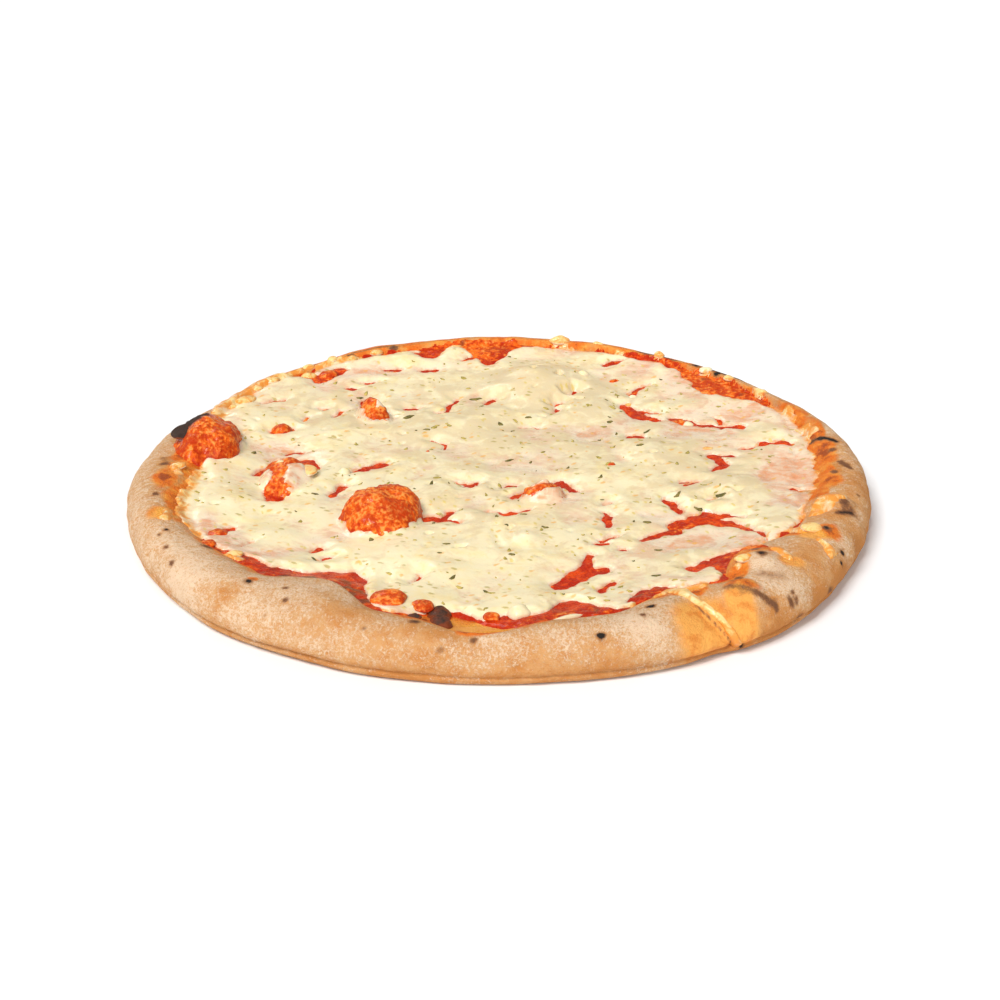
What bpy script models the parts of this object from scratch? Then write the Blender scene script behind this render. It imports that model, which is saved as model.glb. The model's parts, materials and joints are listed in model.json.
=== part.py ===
"""Margherita pizza, whole and uncut, lying flat on its underside.

Three solids: the dough base with its raised, uneven rim and its bubbles, the
tomato sauce that coats the base and the bubbles, and the sheet of melted
cheese with the gaps that the sauce shows through.  Metres, +Z up; the origin
is the middle of the flat underside and -Y is the front.
"""

import math

import bmesh
import bpy
import numpy as np
from mathutils import Vector, noise

MM = 0.001
GAP = 0.3 * MM                  # clearance between two layers that touch
LUMP_GAP = 0.45 * MM            # the same round a lumpy bubble

# Dough
DIAMETER = 290 * MM
RIM_HEIGHT = 17.5 * MM          # crest of the rim above the table
BELLY_HEIGHT = 6.5 * MM         # level at which the rim is widest
FLOOR_HEIGHT = 7.5 * MM         # top of the flat dough under the sauce
FLOOR_RADIUS = 92 * MM          # the dough is flat inside this radius
EDGE_RADIUS = 121 * MM          # where the toppings end on the rim's inner slope
EDGE_HEIGHT = 13.0 * MM         # height of the dough there
SHOULDER_ACROSS = 0.45          # the inner shoulder, as shares of the way to the crest
SHOULDER_UP = 0.72
CREST_RADIUS = 132.5 * MM
CREST_SHARE = 0.5               # how far across the rim its crest runs
CREST_INSET = 8 * MM            # least distance from the crest to the outer side
FOOT_INSET = 4.5 * MM           # the underside stands back from the widest ring
FOOT_CURVE = 2.2                # how late the outer side turns in to the underside
RIM_FULLNESS = 2.1              # 2 is an ellipse, more is a squarer section
RIM_UNEVENNESS = 1.1 * MM
RIM_LUMP_SIZE = 28 * MM

# Toppings
SAUCE_THICKNESS = 1.7 * MM
SAUCE_EDGE_THICKNESS = 1.2 * MM
CHEESE_THICKNESS = 2.6 * MM
CHEESE_EDGE_THICKNESS = 1.5 * MM
CHEESE_TAPER = 14 * MM          # the sheet thins over this distance to its edge
CHEESE_UNEVENNESS = 1.0 * MM
CHEESE_LUMP_SIZE = 17 * MM
CHEESE_MARGIN = 5.5 * MM        # width of the sauce's border round the cheese
# Ripples of the cheese's outline: how many go round, reach, start in radians
CHEESE_RIPPLES = ((9, 1.6 * MM, 1.0), (17, 1.1 * MM, 0.0))

# Fineness of the meshes
STEPS_ROUND = 70
SLOPE_STEPS = 4
CROWN_STEPS = 6
FOOT_STEPS = 3
CORE_FINENESS = 5
COAT_FINENESS = 8
CHEESE_CELL = 9.3 * MM
EDGE_STEPS = 84

# Waves of the rim, each as direction in degrees, spread in degrees and reach.
# How far the toppings run out over the rim, or the rim's dough folds in over them:
EDGE_WAVES = (
    (45, 45, 13 * MM), (90, 45, 14 * MM), (135, 45, 13 * MM), (12, 34, 6 * MM),
    (182, 16, -3 * MM), (202, 20, 4 * MM), (238, 13, -10 * MM), (267, 12, 9 * MM),
    (300, 12, -6 * MM), (324, 14, -7 * MM),
)
# How far the rim's crest rises or sinks:
CREST_WAVES = (
    (45, 45, -3.0 * MM), (90, 45, -2.0 * MM), (135, 45, -4.4 * MM), (160, 30, -1.6 * MM),
    (236, 22, 1.4 * MM), (268, 10, -1.8 * MM), (301, 6, -1.8 * MM), (316, 16, 1.2 * MM),
    (350, 22, -1.5 * MM), (196, 18, 0.8 * MM),
)
# How far the rim's outer side swells or draws in:
OUTLINE_WAVES = (
    (215, 30, 0.8 * MM), (230, 18, 1.4 * MM), (270, 24, -2.4 * MM), (301, 5, -1.8 * MM),
    (312, 24, 2.8 * MM), (340, 30, -0.8 * MM), (30, 40, -1.6 * MM), (112, 30, 0.9 * MM),
    (155, 32, -2.8 * MM),
)

# Dough bubbles: x, y, width, depth, height of the top, turn in degrees.
# Under the sauce:
BUBBLES = (
    (-44.5 * MM, -35 * MM, 33 * MM, 36 * MM, 22.0 * MM, -15),
    (-118 * MM, 25 * MM, 29 * MM, 42 * MM, 24.5 * MM, -8),
    (-84 * MM, -1 * MM, 22 * MM, 34 * MM, 16.5 * MM, 10),
    (-53 * MM, 61 * MM, 14 * MM, 24 * MM, 16.5 * MM, 20),
    (17 * MM, -20 * MM, 20 * MM, 16 * MM, 16.0 * MM, 25),
)
# Bare, on the rim:
RIM_BUBBLES = (
    (93 * MM, -83 * MM, 30 * MM, 24 * MM, 20.5 * MM, 40),
    (84 * MM, -105 * MM, 26 * MM, 20 * MM, 20.0 * MM, 30),
    (125 * MM, -35 * MM, 22 * MM, 18 * MM, 19.5 * MM, 0),
)
BUBBLE_SINK = 2.5 * MM          # the middle of a bubble lies this deep in the dough
BUBBLE_LUMPS = 0.14             # unevenness of a bubble as a share of its size
BUBBLE_LUMPINESS = 1.4          # how many lumps go round a bubble
BUBBLE_SPREAD = 32 * MM         # sets the bubbles' lumps apart from each other

# Cheese: mounds as x, y, radius, rise
CHEESE_MOUNDS = (
    (17 * MM, 88 * MM, 30 * MM, 3.6 * MM), (36 * MM, 58 * MM, 22 * MM, 1.8 * MM),
    (-28 * MM, -74 * MM, 30 * MM, 1.6 * MM), (92 * MM, -14 * MM, 20 * MM, 1.8 * MM),
    (62 * MM, 20 * MM, 26 * MM, 1.4 * MM), (-70 * MM, 34 * MM, 24 * MM, 1.3 * MM),
    (-12 * MM, 52 * MM, 22 * MM, 1.2 * MM), (2 * MM, -52 * MM, 20 * MM, 1.5 * MM),
    (-98 * MM, -28 * MM, 18 * MM, 1.4 * MM),
)
# Bays in the cheese's edge where a wider band of sauce shows: direction, spread, depth
CHEESE_BAYS = (
    (231, 16, 8 * MM), (281, 8, 12 * MM), (318, 7, 7 * MM), (43, 15, 10 * MM),
    (92, 7, 16 * MM), (104, 5, 9 * MM), (356, 14, 3 * MM), (206, 8, 3 * MM),
    (125, 8, 5 * MM),
)
# Gaps inside the cheese: x, y, length, width, turn in degrees
CHEESE_GAPS = (
    (80 * MM, -43 * MM, 34 * MM, 13 * MM, -12), (61 * MM, -54 * MM, 18 * MM, 7 * MM, 25),
    (66 * MM, -27 * MM, 15 * MM, 5 * MM, 118), (29 * MM, -80 * MM, 27 * MM, 9 * MM, 62),
    (41 * MM, -41 * MM, 14 * MM, 4 * MM, 85), (58 * MM, 62 * MM, 24 * MM, 9 * MM, 115),
    (88 * MM, 51 * MM, 26 * MM, 5 * MM, -8), (88 * MM, 12 * MM, 16 * MM, 7 * MM, 75),
    (111 * MM, 32 * MM, 12 * MM, 5 * MM, 20), (58 * MM, 86 * MM, 13 * MM, 5 * MM, 70),
    (-74 * MM, 102 * MM, 18 * MM, 6 * MM, 105), (-25 * MM, -37 * MM, 20 * MM, 8 * MM, 12),
    (-24 * MM, 31 * MM, 13 * MM, 3 * MM, 115), (-53 * MM, 9 * MM, 15 * MM, 6 * MM, 35),
    (-89 * MM, 43 * MM, 10 * MM, 6 * MM, 100), (49 * MM, 112 * MM, 9 * MM, 5 * MM, 70),
)
GAP_LOBES = 0.24                # how far a gap's outline departs from an ellipse
GAP_SPREAD = 3.2 * MM           # sets the gaps' lobes apart from each other
GAP_SIDES = 11

SLIVER = 0.01 * MM              # shorter edges than this are closed up
FLAT_ANGLE = math.radians(0.4)  # flatter folds than this are smoothed out
SHARP_ANGLE = math.radians(50)  # sharper folds than this stay crisp

# Colours as linear red, green, blue
CRUST_COLOUR = (0.62, 0.37, 0.19)
SAUCE_COLOUR = (0.50, 0.045, 0.012)
CHEESE_COLOUR = (0.88, 0.80, 0.56)


# ---------------------------------------------------------------- scene and materials

def empty_scene():
    """Take everything out of the scene."""
    for obj in list(bpy.data.objects):
        bpy.data.objects.remove(obj)


def new_collection(name):
    """Make a collection in the scene."""
    collection = bpy.data.collections.new(name)
    bpy.context.scene.collection.children.link(collection)
    return collection


def food_material(name, colour, roughness):
    """Make a plain material of one colour."""
    material = bpy.data.materials.new(name)
    material.use_nodes = True
    shader = material.node_tree.nodes["Principled BSDF"]
    shader.inputs["Base Color"].default_value = (*colour, 1.0)
    shader.inputs["Roughness"].default_value = roughness
    shader.inputs["Metallic"].default_value = 0.0
    return material


# ---------------------------------------------------------------- shape of the dough

def wave(angle, waves):
    """Add up the soft bumps of a list of waves in one direction."""
    total = 0.0
    for direction, spread, reach in waves:
        offset = abs((math.degrees(angle) - direction + 180) % 360 - 180)
        if offset < spread:
            total += reach * 0.5 * (1 + math.cos(math.pi * offset / spread))
    return total


EVEN_RINGS = (0, FLOOR_RADIUS, EDGE_RADIUS, CREST_RADIUS, DIAMETER / 2)


def ring_radii(angle):
    """Radii of the toppings' edge, the crest and the outline in one direction."""
    outline = DIAMETER / 2 + wave(angle, OUTLINE_WAVES)
    edge = EDGE_RADIUS + wave(angle, EDGE_WAVES)
    crest = edge + (outline - edge) * CREST_SHARE
    return edge, min(crest, outline - CREST_INSET), outline


def slope_points():
    """Inner slope of the rim, from the flat floor up to the crest."""
    points = []
    for step in range(SLOPE_STEPS + 1):
        part = step / SLOPE_STEPS
        radius = FLOOR_RADIUS + part * (EDGE_RADIUS - FLOOR_RADIUS)
        points.append((radius, FLOOR_HEIGHT + (EDGE_HEIGHT - FLOOR_HEIGHT) * part ** 2))
    return points


def crown_points():
    """Rounded top and outer side of the rim, down to the foot."""
    points = []
    half_width = DIAMETER / 2 - CREST_RADIUS
    shoulder = EDGE_RADIUS + (CREST_RADIUS - EDGE_RADIUS) * SHOULDER_ACROSS
    points.append((shoulder, EDGE_HEIGHT + (RIM_HEIGHT - EDGE_HEIGHT) * SHOULDER_UP))
    for step in range(CROWN_STEPS + 1):
        turn = math.radians(90) * (1 - step / CROWN_STEPS)
        across = math.cos(turn) ** (2 / RIM_FULLNESS)
        up = math.sin(turn) ** (2 / RIM_FULLNESS)
        height = BELLY_HEIGHT + (RIM_HEIGHT - BELLY_HEIGHT) * up
        points.append((CREST_RADIUS + half_width * across, height))
    for step in range(1, FOOT_STEPS + 1):
        part = step / FOOT_STEPS
        inset = FOOT_INSET * part ** FOOT_CURVE
        points.append((DIAMETER / 2 - inset, BELLY_HEIGHT * (1 - part)))
    return points


def rim_share(radius):
    """How fully the waves of the crest act at a radius of the evenly turned rim."""
    return min(max(radius - FLOOR_RADIUS, 0) / (CREST_RADIUS - FLOOR_RADIUS), 1.0) ** 2


def dough_place(point):
    """Move a point of the evenly turned rim to its place on the uneven one."""
    radius = math.hypot(point.x, point.y)
    if radius <= FLOOR_RADIUS:
        return point.copy()
    angle = math.atan2(point.y, point.x)
    new_radius = float(np.interp(radius, EVEN_RINGS, (0, FLOOR_RADIUS, *ring_radii(angle))))
    share = rim_share(radius)
    lump = noise.noise(Vector((point.x, point.y, point.z)) / RIM_LUMP_SIZE) * RIM_UNEVENNESS
    rise = (wave(angle, CREST_WAVES) + lump) * share * point.z / RIM_HEIGHT
    new_radius += 0.5 * lump * point.z / RIM_HEIGHT * share
    return Vector((new_radius * math.cos(angle), new_radius * math.sin(angle), point.z + rise))


def dough_height(x, y):
    """Height of the dough's top surface between the middle and the crest."""
    angle = math.atan2(y, x)
    uneven_rings = (0, FLOOR_RADIUS, *ring_radii(angle))
    radius = float(np.interp(math.hypot(x, y), uneven_rings, EVEN_RINGS))
    radii, heights = zip(*slope_points(), *crown_points()[:2])
    height = float(np.interp(radius, radii, heights))
    return height + wave(angle, CREST_WAVES) * rim_share(radius) * height / RIM_HEIGHT


# ---------------------------------------------------------------- modelling helpers

def turned_solid(name, profile, collection):
    """Turn a profile of (radius, height) points about the Z axis into a solid."""
    mesh = bpy.data.meshes.new(name)
    shape = bmesh.new()
    corners = [shape.verts.new((radius, 0, height)) for radius, height in profile]
    for first, second in zip(corners, corners[1:]):
        shape.edges.new((first, second))
    shape.to_mesh(mesh)
    shape.free()
    obj = bpy.data.objects.new(name, mesh)
    collection.objects.link(obj)
    screw = obj.modifiers.new("Turn", "SCREW")
    screw.axis = "Z"
    screw.steps = STEPS_ROUND
    screw.render_steps = STEPS_ROUND
    screw.use_merge_vertices = True
    screw.merge_threshold = 0.01 * MM
    apply_modifiers(obj)
    return obj


def apply_modifiers(obj):
    """Make the modified shape the object's own mesh."""
    graph = bpy.context.evaluated_depsgraph_get()
    mesh = bpy.data.meshes.new_from_object(obj.evaluated_get(graph))
    obj.modifiers.clear()
    obj.data = mesh


def place_vertices(obj, place):
    """Move every vertex of an object to where a function says."""
    for vertex in obj.data.vertices:
        vertex.co = place(vertex.co)


def combine(obj, others, operation):
    """Join closed meshes to an object, cut them away or keep what they share, in one step."""
    group = new_collection(f"{obj.name}_{operation.lower()}")
    for other in others:
        group.objects.link(other)
    modifier = obj.modifiers.new(operation.title(), "BOOLEAN")
    modifier.operation = operation
    modifier.solver = "EXACT"
    if len(others) == 1:
        modifier.object = others[0]
    else:
        modifier.operand_type = "COLLECTION"
        modifier.collection = group
    apply_modifiers(obj)
    bpy.data.collections.remove(group)


def as_cutter(obj):
    """Mark an object as one that only shapes others."""
    obj.hide_render = True
    obj.display_type = "WIRE"
    return obj


def grown_copy(obj, name, collection):
    """Copy an object with its surface moved out by the gap, to cut its neighbour."""
    mesh = obj.data.copy()
    shape = bmesh.new()
    shape.from_mesh(mesh)
    shape.normal_update()
    moves = [vertex.normal * GAP * vertex.calc_shell_factor() for vertex in shape.verts]
    for vertex, move in zip(shape.verts, moves):
        vertex.co += move
    shape.to_mesh(mesh)
    shape.free()
    copy = bpy.data.objects.new(name, mesh)
    collection.objects.link(copy)
    return as_cutter(copy)


def clean_mesh(obj):
    """Close up the slivers that cutting leaves and shade the surface smooth."""
    shape = bmesh.new()
    shape.from_mesh(obj.data)
    bmesh.ops.dissolve_limit(
        shape, angle_limit=FLAT_ANGLE, verts=shape.verts, edges=shape.edges, delimit={"NORMAL"}
    )
    bmesh.ops.triangulate(shape, faces=shape.faces)
    bmesh.ops.remove_doubles(shape, verts=shape.verts, dist=SLIVER)
    bmesh.ops.dissolve_degenerate(shape, edges=shape.edges, dist=SLIVER)
    gaps = [edge for edge in shape.edges if edge.is_boundary]
    bmesh.ops.holes_fill(shape, edges=gaps)
    bmesh.ops.triangulate(shape, faces=shape.faces)
    shape.to_mesh(obj.data)
    shape.free()
    obj.data.shade_smooth()
    obj.data.set_sharp_from_angle(angle=SHARP_ANGLE)


def finish(obj, name, material):
    """Name a finished piece and give it its material."""
    clean_mesh(obj)
    obj.name = name
    obj.data.name = name
    obj.data.materials.clear()
    obj.data.materials.append(material)


def blob_prism(name, outline, low, high, collection):
    """Stand a closed outline up as a prism between two heights."""
    mesh = bpy.data.meshes.new(name)
    shape = bmesh.new()
    corners = [shape.verts.new((x, y, low)) for x, y in outline]
    base = shape.faces.new(corners)
    raised = bmesh.ops.extrude_face_region(shape, geom=[base])
    top = [item for item in raised["geom"] if isinstance(item, bmesh.types.BMVert)]
    bmesh.ops.translate(shape, verts=top, vec=(0, 0, high - low))
    bmesh.ops.recalc_face_normals(shape, faces=shape.faces)
    shape.to_mesh(mesh)
    shape.free()
    obj = bpy.data.objects.new(name, mesh)
    collection.objects.link(obj)
    return as_cutter(obj)


# ---------------------------------------------------------------- bubbles

def bubble_shape(name, bubble, growth, fineness, collection):
    """Make one bubble as a lumpy ellipsoid, at its size or grown or shrunk all round."""
    x, y, width, depth, top, turn = bubble
    sunk = min(dough_height(x, y), EDGE_HEIGHT) - BUBBLE_SINK
    mesh = bpy.data.meshes.new(name)
    shape = bmesh.new()
    bmesh.ops.create_uvsphere(shape, u_segments=2 * fineness, v_segments=fineness, radius=1.0)
    sizes = Vector((width / 2 + growth, depth / 2 + growth, top + growth - sunk))
    cosine, sine = math.cos(math.radians(turn)), math.sin(math.radians(turn))
    for vertex in shape.verts:
        place = vertex.co.copy()
        around = Vector((x, y, 0)) / BUBBLE_SPREAD + place * BUBBLE_LUMPINESS
        place *= 1 + BUBBLE_LUMPS * noise.noise(around)
        local = Vector((place.x * sizes.x, place.y * sizes.y, place.z * sizes.z))
        vertex.co = (
            x + local.x * cosine - local.y * sine,
            y + local.x * sine + local.y * cosine,
            sunk + max(local.z, -BUBBLE_SINK),
        )
    shape.to_mesh(mesh)
    shape.free()
    obj = bpy.data.objects.new(name, mesh)
    collection.objects.link(obj)
    return as_cutter(obj)


# ---------------------------------------------------------------- the three layers

def bubble_shapes(name, bubbles, growth, fineness, collection):
    """Make a lump for each bubble."""
    return [
        bubble_shape(f"{name}_{number}", bubble, growth, fineness, collection)
        for number, bubble in enumerate(bubbles)
    ]


def make_crust(parts, cutters):
    """Dough base: flat floor, raised uneven rim, rounded outer side and bubbles."""
    profile = [(0, FLOOR_HEIGHT)] + slope_points() + crown_points() + [(0, 0)]
    crust = turned_solid("crust", profile, parts)
    place_vertices(crust, dough_place)
    dough_room = grown_copy(crust, "dough_room", cutters)
    cores = bubble_shapes("core", BUBBLES, -SAUCE_THICKNESS, CORE_FINENESS, cutters)
    lumps = bubble_shapes("rim_bubble", RIM_BUBBLES, 0.0, CORE_FINENESS, cutters)
    combine(crust, cores + lumps, "UNION")
    finish(crust, "crust", food_material("baked_dough", CRUST_COLOUR, 0.8))
    return dough_room


def make_sauce(dough_room, parts, cutters):
    """Sauce over the floor, up the rim's slope and over the bubbles."""
    under = FLOOR_HEIGHT - 2 * SAUCE_THICKNESS
    top = [(radius, height + SAUCE_THICKNESS) for radius, height in slope_points()]
    top[-1] = (EDGE_RADIUS, EDGE_HEIGHT + SAUCE_EDGE_THICKNESS)
    profile = [(0, FLOOR_HEIGHT + SAUCE_THICKNESS)] + top + [(EDGE_RADIUS, under), (0, under)]
    sauce = turned_solid("tomato_sauce", profile, parts)
    place_vertices(sauce, dough_place)
    sauce_room = grown_copy(sauce, "sauce_room", cutters)
    combine(sauce, bubble_shapes("coat", BUBBLES, 0.0, COAT_FINENESS, cutters), "UNION")
    core_growth = LUMP_GAP - SAUCE_THICKNESS
    rooms = bubble_shapes("core_room", BUBBLES, core_growth, CORE_FINENESS, cutters)
    rooms += bubble_shapes("rim_room", RIM_BUBBLES, LUMP_GAP, CORE_FINENESS, cutters)
    combine(sauce, [dough_room] + rooms, "DIFFERENCE")
    finish(sauce, "tomato_sauce", food_material("cooked_tomato", SAUCE_COLOUR, 0.35))
    return sauce_room


def cheese_edge(angle):
    """Radius of the cheese's outline in one direction."""
    edge = ring_radii(angle)[0]
    ripple = sum(reach * math.sin(count * angle + start) for count, reach, start in CHEESE_RIPPLES)
    return edge - CHEESE_MARGIN - wave(angle, CHEESE_BAYS) + ripple


def cheese_top(x, y):
    """Height of the cheese's upper surface."""
    inside = cheese_edge(math.atan2(y, x)) - math.hypot(x, y)
    share = min(max(inside / CHEESE_TAPER, 0.0), 1.0)
    thickness = CHEESE_EDGE_THICKNESS + (CHEESE_THICKNESS - CHEESE_EDGE_THICKNESS) * share
    for mound_x, mound_y, radius, rise in CHEESE_MOUNDS:
        away = math.hypot(x - mound_x, y - mound_y) / radius
        if away < 1:
            thickness += rise * (1 - away ** 2) ** 2
    thickness += share * CHEESE_UNEVENNESS * noise.noise(Vector((x, y, 0)) / CHEESE_LUMP_SIZE)
    return dough_height(x, y) + SAUCE_THICKNESS + thickness


def gap_outline(x, y, length, width, turn):
    """Wavy outline of one gap in the cheese."""
    points = []
    cosine, sine = math.cos(math.radians(turn)), math.sin(math.radians(turn))
    for side in range(GAP_SIDES):
        angle = 2 * math.pi * side / GAP_SIDES
        reach = 1 + GAP_LOBES * math.sin(3 * angle + (x + y) / GAP_SPREAD)
        along = reach * length / 2 * math.cos(angle)
        across = reach * width / 2 * math.sin(angle)
        points.append((x + along * cosine - across * sine, y + along * sine + across * cosine))
    return points


def make_cheese(dough_room, sauce_room, parts, cutters):
    """Sheet of melted cheese with mounds, a wavy edge and gaps."""
    mesh = bpy.data.meshes.new("melted_cheese")
    shape = bmesh.new()
    half = DIAMETER / 2
    cells = round(DIAMETER / CHEESE_CELL)
    bmesh.ops.create_grid(shape, x_segments=cells, y_segments=cells, size=half)
    raised = bmesh.ops.extrude_face_region(shape, geom=list(shape.faces))
    top = [item for item in raised["geom"] if isinstance(item, bmesh.types.BMVert)]
    for vertex in shape.verts:
        vertex.co.z = dough_height(vertex.co.x, vertex.co.y) + SAUCE_THICKNESS / 2
    for vertex in top:
        vertex.co.z = cheese_top(vertex.co.x, vertex.co.y)
    bmesh.ops.recalc_face_normals(shape, faces=shape.faces)
    shape.to_mesh(mesh)
    shape.free()
    cheese = bpy.data.objects.new("melted_cheese", mesh)
    parts.objects.link(cheese)

    angles = [2 * math.pi * step / EDGE_STEPS for step in range(EDGE_STEPS)]
    outline = [(cheese_edge(a) * math.cos(a), cheese_edge(a) * math.sin(a)) for a in angles]
    border = blob_prism("cheese_border", outline, 0, 3 * RIM_HEIGHT, cutters)
    combine(cheese, [border], "INTERSECT")
    clean_mesh(cheese)
    rooms = [dough_room, sauce_room]
    rooms += bubble_shapes("coat_room", BUBBLES, LUMP_GAP, COAT_FINENESS, cutters)
    rooms += bubble_shapes("rim_space", RIM_BUBBLES, LUMP_GAP, CORE_FINENESS, cutters)
    for number, gap in enumerate(CHEESE_GAPS):
        outline = gap_outline(*gap)
        rooms.append(blob_prism(f"gap_{number}", outline, 0, 3 * RIM_HEIGHT, cutters))
    combine(cheese, rooms, "DIFFERENCE")
    finish(cheese, "melted_cheese", food_material("mozzarella_like", CHEESE_COLOUR, 0.3))
    return cheese


def main():
    """Build the pizza."""
    empty_scene()
    parts = new_collection("margherita_pizza")
    cutters = new_collection("cutters")
    dough_room = make_crust(parts, cutters)
    sauce_room = make_sauce(dough_room, parts, cutters)
    make_cheese(dough_room, sauce_room, parts, cutters)


main()
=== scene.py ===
"""Margherita pizza: the finished look of the dough, sauce, cheese and herbs.

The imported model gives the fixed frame.  Each layer is modelled again here in
fine detail and stands for its node of the frame.  Metres, +Z up, -Y is the front.
"""

import json
import math

import bpy
import numpy as np
from mathutils import Vector, noise
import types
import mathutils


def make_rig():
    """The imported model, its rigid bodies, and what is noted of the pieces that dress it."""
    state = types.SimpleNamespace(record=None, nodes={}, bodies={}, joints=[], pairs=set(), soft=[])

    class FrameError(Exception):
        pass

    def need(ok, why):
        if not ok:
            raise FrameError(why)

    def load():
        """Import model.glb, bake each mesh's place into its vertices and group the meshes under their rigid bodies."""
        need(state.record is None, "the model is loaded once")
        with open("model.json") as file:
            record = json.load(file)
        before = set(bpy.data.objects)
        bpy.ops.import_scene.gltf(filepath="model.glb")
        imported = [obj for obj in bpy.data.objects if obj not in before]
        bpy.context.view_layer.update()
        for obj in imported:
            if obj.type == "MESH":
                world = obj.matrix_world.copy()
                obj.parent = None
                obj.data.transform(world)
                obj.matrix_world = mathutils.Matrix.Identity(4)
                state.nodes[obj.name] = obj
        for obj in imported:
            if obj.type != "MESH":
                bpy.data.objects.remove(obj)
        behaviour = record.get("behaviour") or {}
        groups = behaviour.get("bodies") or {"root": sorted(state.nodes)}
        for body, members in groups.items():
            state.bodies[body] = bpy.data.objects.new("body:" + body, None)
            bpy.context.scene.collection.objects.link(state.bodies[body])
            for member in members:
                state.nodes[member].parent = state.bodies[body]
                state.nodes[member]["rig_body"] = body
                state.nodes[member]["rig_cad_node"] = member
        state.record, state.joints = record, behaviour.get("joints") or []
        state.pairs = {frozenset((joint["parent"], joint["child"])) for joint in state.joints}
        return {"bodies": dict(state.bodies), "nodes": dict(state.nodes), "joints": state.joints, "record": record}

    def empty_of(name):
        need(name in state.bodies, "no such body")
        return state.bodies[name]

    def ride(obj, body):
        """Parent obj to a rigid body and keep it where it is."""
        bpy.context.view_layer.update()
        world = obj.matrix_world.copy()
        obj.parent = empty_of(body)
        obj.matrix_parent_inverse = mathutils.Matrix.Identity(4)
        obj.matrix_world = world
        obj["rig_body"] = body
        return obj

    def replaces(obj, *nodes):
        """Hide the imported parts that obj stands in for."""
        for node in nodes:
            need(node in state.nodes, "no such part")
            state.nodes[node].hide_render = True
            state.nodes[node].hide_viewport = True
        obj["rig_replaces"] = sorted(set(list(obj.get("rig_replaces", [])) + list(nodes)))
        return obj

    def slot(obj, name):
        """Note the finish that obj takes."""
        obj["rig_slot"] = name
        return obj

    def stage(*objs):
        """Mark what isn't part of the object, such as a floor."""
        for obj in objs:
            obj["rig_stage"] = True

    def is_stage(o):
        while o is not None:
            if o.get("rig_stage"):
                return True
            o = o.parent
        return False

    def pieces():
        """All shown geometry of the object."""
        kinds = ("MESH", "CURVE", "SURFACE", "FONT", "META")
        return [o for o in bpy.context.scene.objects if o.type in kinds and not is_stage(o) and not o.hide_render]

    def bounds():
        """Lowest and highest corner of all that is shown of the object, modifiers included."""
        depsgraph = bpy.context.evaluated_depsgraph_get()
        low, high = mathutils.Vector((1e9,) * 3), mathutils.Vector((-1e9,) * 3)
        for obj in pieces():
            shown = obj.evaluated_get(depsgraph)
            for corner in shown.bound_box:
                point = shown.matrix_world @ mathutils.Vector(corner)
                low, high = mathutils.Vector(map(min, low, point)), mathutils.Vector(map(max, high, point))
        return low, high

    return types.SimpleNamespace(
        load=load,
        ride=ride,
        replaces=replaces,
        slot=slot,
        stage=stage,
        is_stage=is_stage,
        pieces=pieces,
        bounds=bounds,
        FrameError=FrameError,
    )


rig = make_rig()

bl_info = {
    "name": "Margherita Pizza",
    "version": (1, 0, 0),
    "blender": (4, 5, 0),
    "location": "View3D > Sidebar > Pizza",
    "description": "Builds a whole baked margherita pizza, layer by layer",
    "category": "Add Mesh",
}

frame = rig.load()
FRAME_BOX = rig.bounds()

MM = 0.001

# ------------------------------------------------------------------ shape of the pizza

DIAMETER = 290 * MM
RIM_HEIGHT = 17.5 * MM
BELLY_HEIGHT = 6.5 * MM
FLOOR_HEIGHT = 7.5 * MM
FLOOR_RADIUS = 92 * MM
EDGE_RADIUS = 121 * MM
EDGE_HEIGHT = 13.0 * MM
CREST_RADIUS = 132.5 * MM
CREST_INSET = 8 * MM
RIM_FULLNESS = 2.1
RIM_UNEVENNESS = 1.1 * MM
RIM_LUMP_SIZE = 28 * MM
# Pimples of the dough: height in mm, size in mm and seed
DOUGH_PIMPLES = ((0.45, 9, 3), (0.2, 4, 4))

# Waves of the rim, each as direction in degrees, spread in degrees and reach
EDGE_WAVES = (
    (45, 45, 13 * MM), (90, 45, 14 * MM), (135, 45, 13 * MM), (12, 34, 6 * MM), (182, 16, -3 * MM),
    (202, 20, 4 * MM), (238, 13, -10 * MM), (267, 12, 9 * MM), (300, 12, -6 * MM),
    (324, 14, -7 * MM),
)
CREST_WAVES = (
    (45, 45, -3.0 * MM), (90, 45, -2.0 * MM), (135, 45, -4.4 * MM), (160, 30, -1.6 * MM),
    (236, 22, 1.4 * MM), (268, 10, -1.8 * MM), (301, 6, -1.8 * MM), (316, 16, 1.2 * MM),
    (350, 22, -1.5 * MM), (196, 18, 0.8 * MM),
)
OUTLINE_WAVES = (
    (215, 30, 0.8 * MM), (230, 18, 1.4 * MM), (270, 24, -2.4 * MM), (301, 5, -1.8 * MM),
    (312, 24, 2.8 * MM), (340, 30, -0.8 * MM), (30, 40, -1.6 * MM), (112, 30, 0.9 * MM),
    (155, 32, -2.8 * MM),
)

# Dough bubbles: x, y, width, depth, height of the top, turn in degrees
BUBBLES = (
    (-44.5 * MM, -35 * MM, 35 * MM, 37 * MM, 22.2 * MM, -15),
    (-118 * MM, 25 * MM, 29 * MM, 42 * MM, 24.5 * MM, -8),
    (-84 * MM, -1 * MM, 22 * MM, 34 * MM, 16.5 * MM, 10),
    (-53 * MM, 61 * MM, 14 * MM, 24 * MM, 16.5 * MM, 20),
    (17 * MM, -16 * MM, 21 * MM, 17 * MM, 15.4 * MM, 25),
)
RIM_BUBBLES = (
    (93 * MM, -83 * MM, 30 * MM, 24 * MM, 20.5 * MM, 40),
    (84 * MM, -105 * MM, 26 * MM, 20 * MM, 20.0 * MM, 30),
    (125 * MM, -35 * MM, 22 * MM, 18 * MM, 19.5 * MM, 0),
)
BUBBLE_SINK = 2.5 * MM
BUBBLE_LUMPS = 0.14
BUBBLE_LUMPINESS = 1.4
BUBBLE_SPREAD = 32 * MM

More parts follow.
